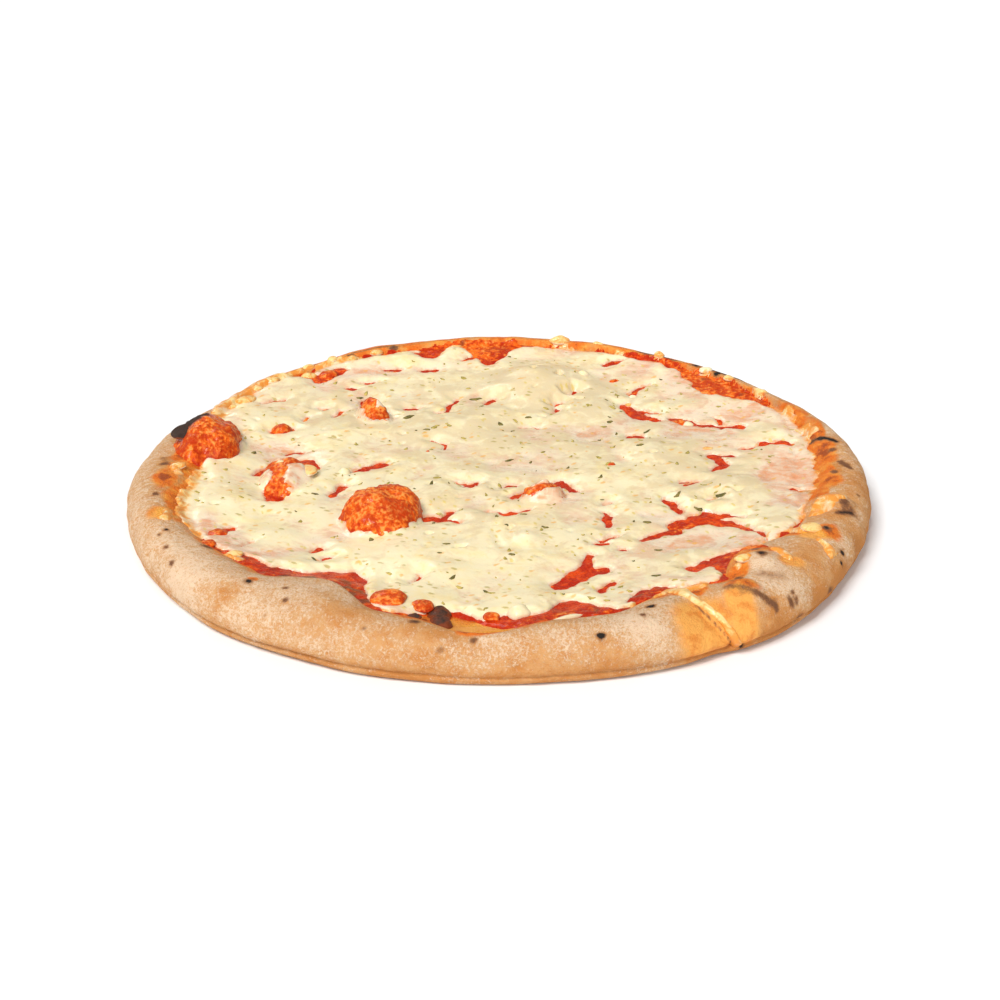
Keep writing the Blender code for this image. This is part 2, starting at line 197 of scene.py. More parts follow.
SAUCE_THICKNESS = 1.7 * MM
SAUCE_FADE = 2.5 * MM
CHEESE_LIFT = 2.9 * MM
# Levels, out of sight between the layers, at which the two sheets are closed below
SAUCE_UNDERSIDE = 8.2 * MM
CHEESE_UNDERSIDE = 8.6 * MM
# How far both sheets stay inside the pizza's outline
OUTLINE_MARGIN = 3 * MM

# Gaps, mounds and thin places are laid out as seen from the front on one level; each
# slides this much further back for every millimetre that the cheese lies lower there
SEEN_LEVEL = 13 * MM
SEEN_SLANT = 2.06

# Mounds of cheese in millimetres: x, y, radius, rise
MOUNDS = (
    (17, 88, 32, 4.4), (36, 58, 22, 1.8), (-28, -74, 30, 1.4), (92, -14, 20, 1.4),
    (62, 20, 26, 1.4), (-70, 34, 24, 1.0), (-12, 52, 22, 1.0), (2, -52, 20, 1.2), (10, -60, 7, 1.3),
    (-98, -28, 18, 1.2), (12, 96, 12, 1.2), (78, -30, 16, 0.8), (60, 26, 10, 0.8),
    (-40, -78, 14, 0.8),
)
# Places where the cheese is thin, likewise: x, y, reach across, reach in depth, how much less
THIN_PLACES = (
    (112, 0, 18, 46, 1.1), (80, -62, 24, 10, 1.3), (58, -44, 16, 16, 0.9), (-95, 82, 24, 14, 1.0),
    (58, 46, 30, 18, 0.8), (22, 34, 26, 12, 0.8), (-92, -66, 22, 10, 1.0), (-40, 106, 26, 8, 1.0),
    (62, 98, 30, 14, 0.9), (94, 66, 22, 16, 0.9), (14, -22, 24, 13, 1.0), (-84, 3, 19, 22, 1.3),
    (-60, -28, 10, 18, 0.9), (-30, 88, 30, 8, 0.6), (36, -90, 20, 8, 0.7), (-112, 40, 8, 20, 0.6),
    (-55, 60, 13, 16, 0.6), (-108, -40, 8, 20, 0.6), (0, 12, 30, 8, 0.5), (84, 20, 18, 22, 0.6),
    (46, 116, 30, 7, 0.6),
)
# Bays in the cheese's edge: direction and spread in degrees, depth
BAYS = (
    (236, 15, 17 * MM), (222, 12, 6 * MM), (283, 9, 17 * MM), (264, 13, 17 * MM), (298, 10, 7 * MM),
    (318, 8, 13 * MM), (43, 15, 12 * MM), (92, 7, 18 * MM), (104, 5, 10 * MM), (130, 5, 9 * MM),
    (273, 7, 8 * MM), (142, 34, -8 * MM), (192, 24, -4 * MM),
)
# Where the sauce stops short of the rim, in the same way
SAUCE_BAYS = (
    (5, 34, 10 * MM), (190, 26, 6 * MM), (150, 16, 3 * MM), (75, 12, 2 * MM), (303, 8, 4 * MM),
    (264, 13, 17 * MM), (327, 8, 4 * MM), (286, 12, 2 * MM),
)
# Gaps in the cheese as strokes in millimetres: start x, y and half width, then the end's
GAPS = (
    (66, -46, 3.0, 76, -40, 5.0), (76, -40, 5.0, 88, -44, 2.5), (64, -23, 1.4, 69, -34, 1.8),
    (53, -57, 1.2, 66, -50, 2.4), (88, -44, 2.0, 99, -53, 0.7), (92, -38, 0.7, 78, -36, 2.6),
    (22, -93, 3.8, 30, -83, 3.6), (30, -83, 3.6, 33, -70, 1.6), (27, -86, 3.0, 38, -81, 2.0),
    (41, -34, 1.3, 41, -46, 1.8), (38, -58, 1.0, 43, -54, 1.6), (44, -66, 0.9, 47, -65, 1.0),
    (57, 80, 1.8, 62, 90, 1.2), (62, 90, 1.2, 66, 91, 0.9), (53, 68, 2.6, 58, 58, 3.4),
    (58, 58, 3.4, 66, 53, 1.6), (60, 62, 2.0, 66, 60, 0.8), (53, 37, 1.2, 58, 36, 1.3),
    (74, 54, 2.6, 80, 49, 2.4), (80, 49, 1.4, 92, 46, 1.6), (92, 46, 2.0, 100, 46, 2.6),
    (90, 56, 0.7, 92, 50, 1.2), (106, 29, 1.4, 118, 32, 2.0), (98, 24, 0.6, 106, 28, 1.2),
    (85, 4, 1.8, 90, 9, 2.4), (90, 9, 2.4, 86, 18, 2.4), (86, 18, 1.4, 94, 17, 0.8),
    (73, -10, 0.7, 78, -7, 1.2), (114, -13, 1.6, 122, -11, 1.4), (23, 67, 0.8, 26, 71, 0.9),
    (-78, 96, 3.4, -70, 108, 3.2), (-84, 102, 2.6, -78, 98, 3.0), (-66, 87, 1.4, -63, 86, 1.1),
    (-30, -40, 3.4, -22, -40, 2.4), (-22, -40, 2.0, -19, -34, 1.2), (-22, -41, 1.4, -15, -43, 1.0),
    (-57, 3, 1.6, -47, 9, 2.8), (-65, -20, 1.6, -61, -11, 2.2), (-95, 0, 2.6, -90, 6, 3.2),
    (-90, 6, 3.2, -84, 11, 3.2), (-84, 11, 3.0, -77, 11, 3.2), (-77, 11, 3.0, -73, 6, 2.0),
    (-86, 4, 3.2, -87, -8, 3.0), (-87, -8, 3.0, -87, -21, 4.2), (-85, 19, 1.0, -81, 20, 1.4),
    (-56, 72, 3.6, -55, 66, 4.0), (-53, 61, 3.6, -50, 55, 4.2), (-58, 57, 1.0, -52, 55, 1.6),
    (5, -21, 1.2, 11, -18, 2.2), (11, -18, 2.2, 17, -12, 3.0), (17, -12, 3.0, 24, -10, 3.6),
    (24, -10, 3.2, 30, -16, 1.2), (1, -13, 0.8, 6, -11, 1.0), (-4, -33, 0.6, 3, -36, 1.4),
    (3, -36, 1.4, 11, -33, 0.9), (-92, 41, 2.2, -88, 43, 2.4), (-82, 52, 0.8, -80, 56, 1.2),
    (-22, 24, 0.7, -22, 28, 1.0), (-22, 28, 1.0, -27, 31, 0.7), (-17, -8, 0.7, -12, -10, 1.1),
    (-12, -10, 1.1, -9, -8, 0.6), (-68, -66, 1.6, -66, -65, 1.8), (-65, -73, 1.0, -63, -72, 1.4),
    (-106, -50, 1.2, -100, -48, 1.4), (-95, -62, 0.8, -92, -60, 0.9), (47, 113, 2.2, 53, 118, 1.8),
    (-17, 119, 1.2, -8, 124, 2.0), (-6, 70, 1.0, -2, 74, 1.4), (-22, 62, 1.0, -19, 74, 1.0),
    (23, 60, 0.8, 25, 65, 1.0), (-40, 64, 1.0, -34, 65, 1.3), (-50, 107, 1.0, -44, 108, 2.0),
    (-34, 106, 1.4, -28, 108, 1.2), (9, 45, 0.5, 16, 45, 0.8), (-70, 56, 0.8, -66, 62, 1.0),
    (-77, 64, 0.7, -73, 65, 0.9), (-60, 92, 0.6, -54, 94, 0.7), (-32, -91, 0.6, -29, -86, 0.8),
    (-14, -12, 0.6, -9, -10, 0.9), (25, -22, 0.7, 26, -18, 1.0), (37, -61, 1.2, 40, -60, 1.0),
    (40, -28, 0.6, 42, -26, 0.7), (71, -9, 0.7, 74, -7, 0.8), (70, -80, 2.6, 84, -70, 2.4),
    (36, -97, 1.0, 40, -92, 1.4), (48, -106, 1.2, 56, -98, 1.2), (80, -24, 0.6, 84, -23, 0.8),
    (30, 78, 0.5, 33, 82, 0.9), (-100, 70, 0.8, -92, 74, 0.9), (-27, 60, 0.5, -22, 62, 0.8),
)
# Cheese that lies on the rim, as strokes in the same way
PATCHES = (
    (119, -41, 2.6, 124, -36, 3.6), (124, -36, 3.6, 129, -34, 1.6), (112, -57, 2.6, 108, -52, 2.2),
    (100, -76, 3.0, 104, -82, 1.6), (117, -68, 1.8, 121, -74, 2.4), (84, -88, 1.2, 88, -85, 1.8),
    (127, 35, 2.8, 124, 41, 2.2), (121, 52, 2.6, 119, 58, 2.4), (120, -8, 1.6, 123, 0, 1.8),
    (89, 101, 1.8, 91, 100, 1.6), (70, 117, 1.6, 72, 116, 1.4), (26, 133, 2.0, 29, 132, 1.6),
    (-66, 117, 1.8, -64, 118, 1.2), (-42, 127, 1.6, -37, 128, 1.2), (-92, 100, 1.8, -87, 104, 1.6),
    (-98, -72, 1.4, -93, -76, 1.4), (-123, -42, 1.6, -124, -50, 2.2),
    (-126, -3, 1.4, -125, -9, 1.8), (-114, -48, 1.4, -110, -54, 1.4),
    (40, -110, 1.2, 46, -107, 1.6), (54, -104, 1.2, 58, -100, 1.4), (64, -97, 2.0, 70, -98, 2.6),
    (-109, 68, 1.8, -106, 73, 2.0), (-112, 60, 1.4, -110, 64, 1.6), (-25, -99, 1.6, -18, -101, 1.8),
    (112, 76, 1.4, 109, 80, 1.2), (52, 124, 1.0, 55, 123, 1.0),
)
# Small lumps on the pizza: x, y, width, depth, rise, turn and kind, in millimetres
LUMPS = (
    (-21.0, -110.5, 8.6, 12, 2.8, 0, "burnt"), (-20.2, -118.6, 7.6, 11, 2.6, 20, "burnt"),
    (-29, -120.5, 5, 6, 1.3, 0, "burnt"), (-125.4, 23.5, 10, 16, 2.0, -32, "charred"),
    (-38.6, -105.0, 13, 13, 2.8, 15, "sauce"), (-27, -108, 9, 8, 1.6, 0, "sauce"),
    (-2.8, -112.7, 6, 6, 1.6, 0, "sauce"), (-104.9, -52.1, 9, 8, 1.5, 30, "sauce"),
    (-107, -64.5, 8, 6, 1.2, 60, "sauce"), (44.7, 2.9, 3.4, 3.4, 0.9, 0, "sauce"),
    (49.9, 96.5, 4.6, 3.6, 1.0, 20, "sauce"), (-29.1, 16.2, 1.8, 1.8, 0.7, 0, "sauce"),
    (84.2, 20.1, 5, 3, 0.8, 10, "gold"), (-90, 38.5, 9, 9, 3.6, 0, "sauce"),
    (-75, 102.6, 10, 7, 1.8, 10, "sauce"), (-83.3, 101.1, 7, 6, 1.6, 0, "gold"),
    (74.8, 48.7, 7, 7, 1.8, 0, "sauce"), (92.5, -72.0, 11, 9, 1.6, 20, "sauce"),
    (-75.6, -7.0, 8, 9, 1.4, 20, "gold"), (6.8, -112.0, 8, 8, 3.2, 0, "pearl"),
    (-85.8, -5.0, 4.6, 4.6, 1.4, 0, "pearl"), (-61.5, -4.1, 5.4, 5.4, 1.8, 0, "pearl"),
    (89.9, 101.4, 6, 4, 1.6, 0, "pearl"), (36.5, 93.0, 5, 4.4, 1.6, 0, "pearl"),
    (78.7, 46.4, 5, 5, 1.6, 0, "pearl"), (70.6, 117.7, 5, 4, 2.0, 0, "gold"),
    (-65.4, 116.9, 5, 4, 2.2, 0, "gold"), (22.7, -117.5, 13, 2.4, 1.4, 28, "pearl"),
    (27, 134.5, 9, 5, 2.8, 0, "gold"), (-107.7, 71.5, 9, 7, 1.6, 40, "gold"),
    (57, 73, 3.4, 3.0, 1.2, 0, "pearl"), (55, 66, 2.8, 2.4, 1.0, 0, "gold"),
    (-125.7, -3.4, 7, 5, 1.1, 30, "gold"), (-96, -72, 7, 5, 1.1, 30, "gold"),
    (86, -86, 6, 4.4, 1.2, 30, "gold"), (114.6, -57.0, 8, 7, 1.4, 0, "gold"),
    (-84, 108, 7, 4, 1.5, 35, "gold"), (-74, 115, 5, 4, 1.4, 30, "gold"),
    (-98, 92, 6, 4, 1.4, 40, "gold"), (-55, 124, 6, 4, 1.5, 20, "gold"),
    (-104, 84, 5, 4, 1.2, 40, "gold"), (-113, 66, 5, 3.4, 1.2, 50, "gold"),
    (-20, 133, 6, 3.4, 1.2, 10, "gold"), (44, 131, 5, 3, 1.2, -20, "gold"),
    (99, 92, 5, 4, 1.2, -40, "gold"),
)
# The piece and material slot of each kind of lump, and how golden its cheese is
LUMP_KINDS = {
    "burnt": ("burnt_blisters", "sauce", 0), "charred": ("charred_blister", "sauce", 0),
    "sauce": ("tomato_bits", "sauce", 0), "pearl": ("cheese_beads", "cheese", 0.1),
    "gold": ("golden_beads", "cheese", 1.1),
}
# The strip of cheese that has run down over the crust: ring, direction, half width
DRIP = (
    (79, 301.9, 2.2), (66, 301.4, 1.15), (53, 301.6, 0.65), (40, 302.4, 0.5), (24, 303.7, 0.55),
    (15, 304.3, 0.55),
)
# The fold in the crust: its direction 5 mm above the table, and its turn per millimetre up
CREASE = (303.4, -0.26)


def waved(angle, waves):
    """Add up the soft bumps of a list of waves in each direction."""
    total = np.zeros_like(angle)
    for direction, spread, reach in waves:
        offset = np.abs((np.degrees(angle) - direction + 180) % 360 - 180)
        bump = 0.5 * reach * (1 + np.cos(np.pi * offset / spread))
        total += np.where(offset < spread, bump, 0)
    return total


def eased(value, low, high):
    """Rise smoothly from 0 at low to 1 at high."""
    share = np.clip((value - low) / (high - low), 0, 1)
    return share * share * (3 - 2 * share)


def lumps(x, y, size, seed, z=0.0):
    """Give smooth unevenness, about -1 to 1, with lumps of about a size."""
    rng = np.random.default_rng(seed)
    slopes = rng.normal(size=(256, 3))
    slopes /= np.linalg.norm(slopes, axis=1)[:, None]
    order = rng.permutation(256)
    place = np.stack([x, y, z + np.zeros_like(x)], axis=1) / size + rng.uniform(0, 100, 3)
    cell = np.floor(place).astype(int)
    part = place - cell
    ease = part ** 3 * (part * (part * 6 - 15) + 10)
    total = np.zeros(len(place))
    for corner in np.ndindex(2, 2, 2):
        index = (cell + corner) & 255
        pick = order[(order[(order[index[:, 0]] + index[:, 1]) & 255] + index[:, 2]) & 255]
        weight = np.prod(np.where(corner, ease, 1 - ease), axis=1)
        total += weight * np.sum(slopes[pick] * (part - corner), axis=1)
    return 1.6 * total


def uneven(x, y, *layers, z=0.0):
    """Add up lumps of several kinds, each as height in mm, size in mm and seed; in metres."""
    return sum(height * lumps(x, y, size * MM, seed, z) for height, size, seed in layers) * MM


def turned(across, along, degrees):
    """Turn a place about the origin, counter-clockwise seen from above."""
    cosine, sine = math.cos(math.radians(degrees)), math.sin(math.radians(degrees))
    return across * cosine - along * sine, across * sine + along * cosine


def ring_radii(angle):
    """Radii of the toppings' edge, the crest and the outline in each direction."""
    outline = DIAMETER / 2 + waved(angle, OUTLINE_WAVES)
    edge = EDGE_RADIUS + waved(angle, EDGE_WAVES)
    crest = np.minimum((edge + outline) / 2, outline - CREST_INSET)
    return edge, crest, outline


def between_rings(radius, old, new):
    """Carry radii from one set of rings to another."""
    result = np.zeros_like(radius)
    for low, high, new_low, new_high in zip(old, old[1:], new, new[1:]):
        share = (radius - low) / (high - low)
        inside = share > 0
        result = np.where(inside, new_low + share * (new_high - new_low), result)
    return result


EVEN_RINGS = (0, FLOOR_RADIUS, EDGE_RADIUS, CREST_RADIUS, DIAMETER / 2)


def rim_share(even_radius):
    """How fully the waves of the crest act at a radius."""
    share = (even_radius - FLOOR_RADIUS) / (CREST_RADIUS - FLOOR_RADIUS)
    return np.clip(share, 0, 1) ** 2


def profile_height(even_radius):
    """Height of the evenly turned dough."""
    slope = np.clip((even_radius - FLOOR_RADIUS) / (EDGE_RADIUS - FLOOR_RADIUS), 0, 1)
    rise = np.clip((even_radius - EDGE_RADIUS) / (CREST_RADIUS - EDGE_RADIUS), 0, 1)
    fall = np.clip((even_radius - CREST_RADIUS) / (DIAMETER / 2 - CREST_RADIUS), 0, 1)
    height = FLOOR_HEIGHT + (EDGE_HEIGHT - FLOOR_HEIGHT) * slope ** 2
    height += (RIM_HEIGHT - EDGE_HEIGHT) * np.sin(0.5 * np.pi * rise ** 0.85)
    crown = (1 - fall ** RIM_FULLNESS) ** (1 / RIM_FULLNESS)
    return height - (RIM_HEIGHT - BELLY_HEIGHT) * (1 - crown)


def soft_lumps(x, y, z):
    """The dough's slow unevenness, the same as in the frame's solids."""
    places = np.stack([x, y, z], axis=1) / RIM_LUMP_SIZE
    return np.array([noise.noise(place) for place in places.tolist()]) * RIM_UNEVENNESS


def bubble_root(bubble):
    """Height at which a bubble's dome springs from the dough."""
    middle = np.array([math.hypot(bubble[0], bubble[1])])
    angle = np.array([math.atan2(bubble[1], bubble[0])])
    even = between_rings(middle, (0, FLOOR_RADIUS, *ring_radii(angle)), EVEN_RINGS)
    base = profile_height(even) + waved(angle, CREST_WAVES) * rim_share(even)
    return min(float(base[0]), EDGE_HEIGHT) - BUBBLE_SINK


def bubble_swell(bubble, places):
    """How much fuller or leaner than an even dome the bubble is in each direction."""
    start = (bubble[0] / BUBBLE_SPREAD, bubble[1] / BUBBLE_SPREAD, 0)
    places = places * BUBBLE_LUMPINESS + start
    return 1 + BUBBLE_LUMPS * np.array([noise.noise(place) for place in places.tolist()])


def bubble_height(x, y, bubble, growth=0.0):
    """Height of a bubble's dome; far below the table outside it."""
    middle_x, middle_y, width, depth, top, turn = bubble
    sunk = bubble_root(bubble)
    across, along = turned(x - middle_x, y - middle_y, -turn)
    across, along = across / (width / 2 + growth), along / (depth / 2 + growth)
    reach = np.hypot(across, along)
    up = np.sqrt(np.clip(1 - reach ** 2, 0, None))
    near = reach < 1.3
    swell = np.ones_like(x)
    swell[near] = bubble_swell(bubble, np.stack([across, along, up], axis=1)[near])
    reach = reach / swell
    dome = sunk + (top + growth - sunk) * swell * np.sqrt(np.clip(1 - reach ** 2, 0, None))
    return np.where(reach < 1, dome, sunk - 60 * MM * (reach - 1))


def bubble_shell(unit, bubble):
    """Lay the points of a unit ball on a bubble, with its fine pimples."""
    middle_x, middle_y, width, depth, top, turn = bubble
    sunk = bubble_root(bubble)
    up = np.maximum(unit[:, 2], 0)
    swell = bubble_swell(bubble, np.stack([unit[:, 0], unit[:, 1], up], axis=1))
    across, along = unit[:, 0] * width / 2 * swell, unit[:, 1] * depth / 2 * swell
    height = sunk + np.where(unit[:, 2] > 0, (top - sunk) * swell * up, 3 * MM * unit[:, 2])
    x, y = turned(across, along, turn)
    x, y = x + middle_x, y + middle_y
    fine = 0.75 * lumps(x, y, 7 * MM, 31, height) + 0.4 * lumps(x, y, 3 * MM, 32, height)
    fine += 0.55 * eased(lumps(x, y, 2.3 * MM, 33, height), 0.1, 0.9)
    fine -= 0.45 * eased(lumps(x, y, 4.5 * MM, 34, height), 0.3, 0.9)
    fine *= MM * eased(unit[:, 2], -0.2, 0.1)
    return np.stack([x, y, height], axis=1) + unit * fine[:, None]


def joined(first, second, blend):
    """The higher of two surfaces, with a fillet between them."""
    share = np.clip(0.5 + 0.5 * (first - second) / blend, 0, 1)
    return second + (first - second) * share + blend * share * (1 - share)


def even_radius_at(x, y):
    """Radius of the evenly turned dough that lies at each place."""
    rings = (0, FLOOR_RADIUS, *ring_radii(np.arctan2(y, x)))
    return between_rings(np.hypot(x, y), rings, EVEN_RINGS)


def dough_height(x, y, detail=True):
    """Height of the dough's top at each place, bare rim bubbles included."""
    even = even_radius_at(x, y)
    angle = np.arctan2(y, x)
    plain = profile_height(even)
    share = rim_share(even)
    rise = waved(angle, CREST_WAVES)
    if detail:
        rise = rise + soft_lumps(even * np.cos(angle), even * np.sin(angle), plain)
    height = plain + rise * share * plain / RIM_HEIGHT
    if detail:
        height += uneven(x, y, *DOUGH_PIMPLES) * share
        for bubble in RIM_BUBBLES:
            height = joined(height, bubble_height(x, y, bubble), 1.5 * MM)
    return height


def stroke_distance(x, y, strokes):
    """How far each place lies inside the nearest of the strokes; negative outside."""
    inside = np.full_like(x, -1.0)
    for x1, y1, width1, x2, y2, width2 in strokes:
        across, along = (x2 - x1) * MM, (y2 - y1) * MM
        share = (x - x1 * MM) * across + (y - y1 * MM) * along
        share = np.clip(share / (across ** 2 + along ** 2), 0, 1)
        gone = np.hypot(x - x1 * MM - share * across, y - y1 * MM - share * along)
        inside = np.maximum(inside, (width1 + share * (width2 - width1)) * MM - gone)
    return inside


def sauce_inside(x, y):
    """How far each place lies inside the sauce's ragged edge."""
    angle = np.arctan2(y, x)
    edge = ring_radii(angle)[0] - waved(angle, SAUCE_BAYS) - np.hypot(x, y)
    return edge + 1.0 * MM + uneven(x, y, (1.6, 7, 21), (0.8, 2.6, 22))


def sauce_thickness(inside):
    """Thickness of the sauce, which runs out towards its edge."""
    return SAUCE_THICKNESS * (1 - np.exp(-np.maximum(inside, 0) / SAUCE_FADE))


def sauce_height(x, y):
    """Height of the sauce's top at each place; the bubbles' shells cover its own bulges."""
    inside = sauce_inside(x, y)
    thick = np.where(inside > 0, sauce_thickness(inside), 0.6 * inside)
    height = dough_height(x, y, False) + np.maximum(thick, -1.2 * MM)
    for bubble in BUBBLES:
        height = joined(height, bubble_height(x, y, bubble, -1.0 * MM), 2.0 * MM)
    pulp = uneven(x, y, (0.4, 5, 23), (0.22, 1.9, 24))
    return height + pulp * eased(inside, -1 * MM, 3 * MM)


def beyond_edge(x, y):
    """How far each place lies outside the toppings' edge."""
    return np.hypot(x, y) - ring_radii(np.arctan2(y, x))[0]


def cheese_level(x, y):
    """About the height of the cheese's surface, without its relief."""
    return dough_height(x, y, False) + CHEESE_LIFT


def cheese_inside(x, y, seen_y):
    """How far each place lies inside the cheese's edge and outside its gaps."""
    ragged = uneven(x, y, (2.2, 8, 41), (1.1, 3, 42))
    edge = ragged - 1.0 * MM - waved(np.arctan2(y, x), BAYS) - beyond_edge(x, y)
    wander_x = x + uneven(x, y, (1.5, 4.5, 43), (0.5, 1.8, 39))
    wander_y = y + uneven(x, y, (1.5, 4.5, 44), (0.5, 1.8, 38))
    holes = 14 * MM * (0.98 - lumps(x, y, 5.5 * MM, 52))
    strokes = stroke_distance(wander_x, wander_y + seen_y - y, GAPS)
    inside = np.minimum(np.minimum(edge, holes), -strokes)
    return np.maximum(inside, stroke_distance(wander_x, wander_y, PATCHES))


def cheese_layer(x, y):
    """Thickness of the cheese, below zero where there is none, and how sheer it is."""
    level = cheese_level(x, y)
    for bubble in BUBBLES[2:]:
        level = np.maximum(level, bubble_height(x, y, bubble))
    seen_y = y + SEEN_SLANT * (level - SEEN_LEVEL)
    inside = cheese_inside(x, y, seen_y)
    warp_x = x + 7 * MM * lumps(x, y, 22 * MM, 47)
    warp_y = y + 7 * MM * lumps(x, y, 22 * MM, 48)
    full = 2.2 + 1.2 * lumps(warp_x, warp_y, 19 * MM, 45) + 0.1 * lumps(warp_x, warp_y, 9 * MM, 46)
    for middle_x, middle_y, radius, rise in MOUNDS:
        gone = np.hypot(x - middle_x * MM, seen_y - middle_y * MM) / (radius * MM)
        full += np.where(gone < 1, rise * 0.5 * (1 + np.cos(np.pi * gone)), 0)
    for middle_x, middle_y, reach_x, reach_y, less in THIN_PLACES:
        gone = np.hypot((x / MM - middle_x) / reach_x, (seen_y / MM - middle_y) / reach_y)
        full -= less * np.exp(-gone ** 2)
    full -= 0.8 * eased(lumps(warp_x, warp_y, 12 * MM, 51), 0.5, 1.0)
    full -= 0.9 * np.exp(-np.clip(-beyond_edge(x, y), 0, None) / (6 * MM))
    sheer = 1 - eased(full, 0.5, 2.4) + 0.35 * lumps(warp_x, warp_y, 10 * MM, 53)
    sheer = np.maximum(sheer, 1.1 * np.exp(-(np.clip(inside, 0, None) / (0.9 * MM)) ** 2))
    full = np.maximum(full, 0.7) + 0.04 * lumps(warp_x, warp_y, 4 * MM, 55)
    full = 0.75 + (full - 0.75) * eased(inside, -1 * MM, 6.5 * MM)
    full += 0.5 * eased(beyond_edge(x, y), 0, 3 * MM)
    lip = (1.8 + 1.0 * lumps(x, y, 9 * MM, 50) + 2 * eased(beyond_edge(x, y), -5 * MM, 0)) * MM
    share = np.clip(inside / lip, 0, 1)
    rounded = np.sqrt(np.clip(1 - (1 - share) ** 2, 0, 1))
    thick = np.where(inside > 0, full * rounded * MM, np.maximum(0.7 * inside, -1.4 * MM))
    return thick, np.clip(sheer, 0, 1)


def settled(x, y):
    """Where a thing seen from the front, just above the cheese, lies on the cheese."""
    x, y = np.atleast_1d(x), np.atleast_1d(y)
    further = SEEN_SLANT * (SEEN_LEVEL + 1.5 * MM - cheese_level(x, y))
    return x, y + np.where(np.hypot(x, y) < 108 * MM, further, 0)


def cheese_height(x, y, thick):
    """Height of the cheese's top, and where it is drawn over a bubble."""
    height = dough_height(x, y) + sauce_thickness(sauce_inside(x, y)) + thick
    drawn = np.zeros_like(x)
    climb = height + (1.3 + 1.5 * lumps(x, y, 6 * MM, 54)) * MM
    for number, bubble in enumerate(BUBBLES):
        over = bubble_height(x, y, bubble) + np.minimum(thick, 0.75 * MM)
        if number < 2:
            over = np.minimum(over, climb)
        drawn = np.maximum(drawn, eased(over - height, 0, 1.5 * MM))
        height = joined(height, over, 0.8 * MM)
    return height, drawn


# ------------------------------------------------------------------ mesh helpers

def deselect():
    """Let go of everything, so that the next operator acts on its own piece alone."""
    if bpy.context.object and bpy.context.object.mode != "OBJECT":
        bpy.ops.object.mode_set(mode="OBJECT")
    bpy.ops.object.select_all(action="DESELECT")


def places_of(obj):
    """Read the places of a mesh's vertices."""
    flat = np.empty(3 * len(obj.data.vertices))
    obj.data.vertices.foreach_get("co", flat)
    return flat.reshape(-1, 3)


def set_places(obj, places):
    """Move a mesh's vertices."""
    obj.data.vertices.foreach_set("co", places.ravel())
    obj.data.update()


def set_attributes(obj, **masks):
    """Store numbers on the vertices for the material to read."""
    for name, values in masks.items():
        attribute = obj.data.attributes.new(name, "FLOAT", "POINT")
        values = np.broadcast_to(values, len(obj.data.vertices)).astype(np.float32)
        attribute.data.foreach_set("value", values)


def ball_of(segments, rings):
    """Add a unit ball."""
    deselect()
    bpy.ops.mesh.primitive_uv_sphere_add(segments=segments, ring_count=rings, radius=1.0)
    return bpy.context.object


def joined_pieces(pieces):
    """Join pieces into the first of them."""
    deselect()
    for piece in pieces:
        piece.select_set(True)
    bpy.context.view_layer.objects.active = pieces[0]
    if len(pieces) > 1:
        bpy.ops.object.join()
    return pieces[0]


def finish_piece(obj, name, material, slot, *nodes):
    """Name a piece, give it its material and tie it to the frame."""
    obj.name = name
    obj.data.name = name
    obj.data.materials.clear()
    obj.data.materials.append(material)
    obj.data.shade_smooth()
    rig.ride(obj, "root")
    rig.slot(obj, slot)
    if nodes:
        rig.replaces(obj, *nodes)


def sheet_grid(cell, reach):
    """Lay out a fine square grid over the pizza."""
    deselect()
    cells = int(2 * reach / cell)
    bpy.ops.mesh.primitive_grid_add(x_subdivisions=cells, y_subdivisions=cells, size=2 * reach)
    return bpy.context.object


def keep_vertices(obj, keep):
    """Delete the vertices that aren't to be kept."""
    bpy.context.tool_settings.mesh_select_mode = (True, False, False)
    bpy.ops.object.mode_set(mode="EDIT")
    bpy.ops.mesh.select_all(action="DESELECT")
    bpy.ops.object.mode_set(mode="OBJECT")
    obj.data.vertices.foreach_set("select", ~keep)
    bpy.ops.object.mode_set(mode="EDIT")
    bpy.ops.mesh.delete(type="VERT")
    bpy.ops.object.mode_set(mode="OBJECT")


def close_seam(obj):
    """Join the vertices that meet where a sheet has been rolled up."""
    bpy.ops.object.mode_set(mode="EDIT")
    bpy.ops.mesh.select_all(action="SELECT")
    bpy.ops.mesh.remove_doubles(threshold=0.01 * MM)
    bpy.ops.mesh.normals_make_consistent(inside=False)
    bpy.ops.mesh.select_all(action="DESELECT")
    bpy.ops.object.mode_set(mode="OBJECT")


def close_underneath(obj, level):
    """Draw the sheet's edges down and fill in a flat underside, out of sight."""
    bpy.ops.object.mode_set(mode="EDIT")
    bpy.ops.mesh.select_all(action="DESELECT")
    bpy.ops.mesh.select_non_manifold()
    bpy.ops.mesh.extrude_edges_move()
    bpy.ops.object.mode_set(mode="OBJECT")
    picked = np.zeros(len(obj.data.vertices), dtype=bool)
    obj.data.vertices.foreach_get("select", picked)
    places = places_of(obj)
    places[picked, 2] = level
    set_places(obj, places)
    bpy.ops.object.mode_set(mode="EDIT")
    bpy.ops.mesh.fill(use_beauty=False)
    bpy.ops.mesh.select_all(action="SELECT")
    bpy.ops.mesh.normals_make_consistent(inside=False)
    bpy.ops.mesh.select_all(action="DESELECT")
    bpy.ops.object.mode_set(mode="OBJECT")


# ------------------------------------------------------------------ materials

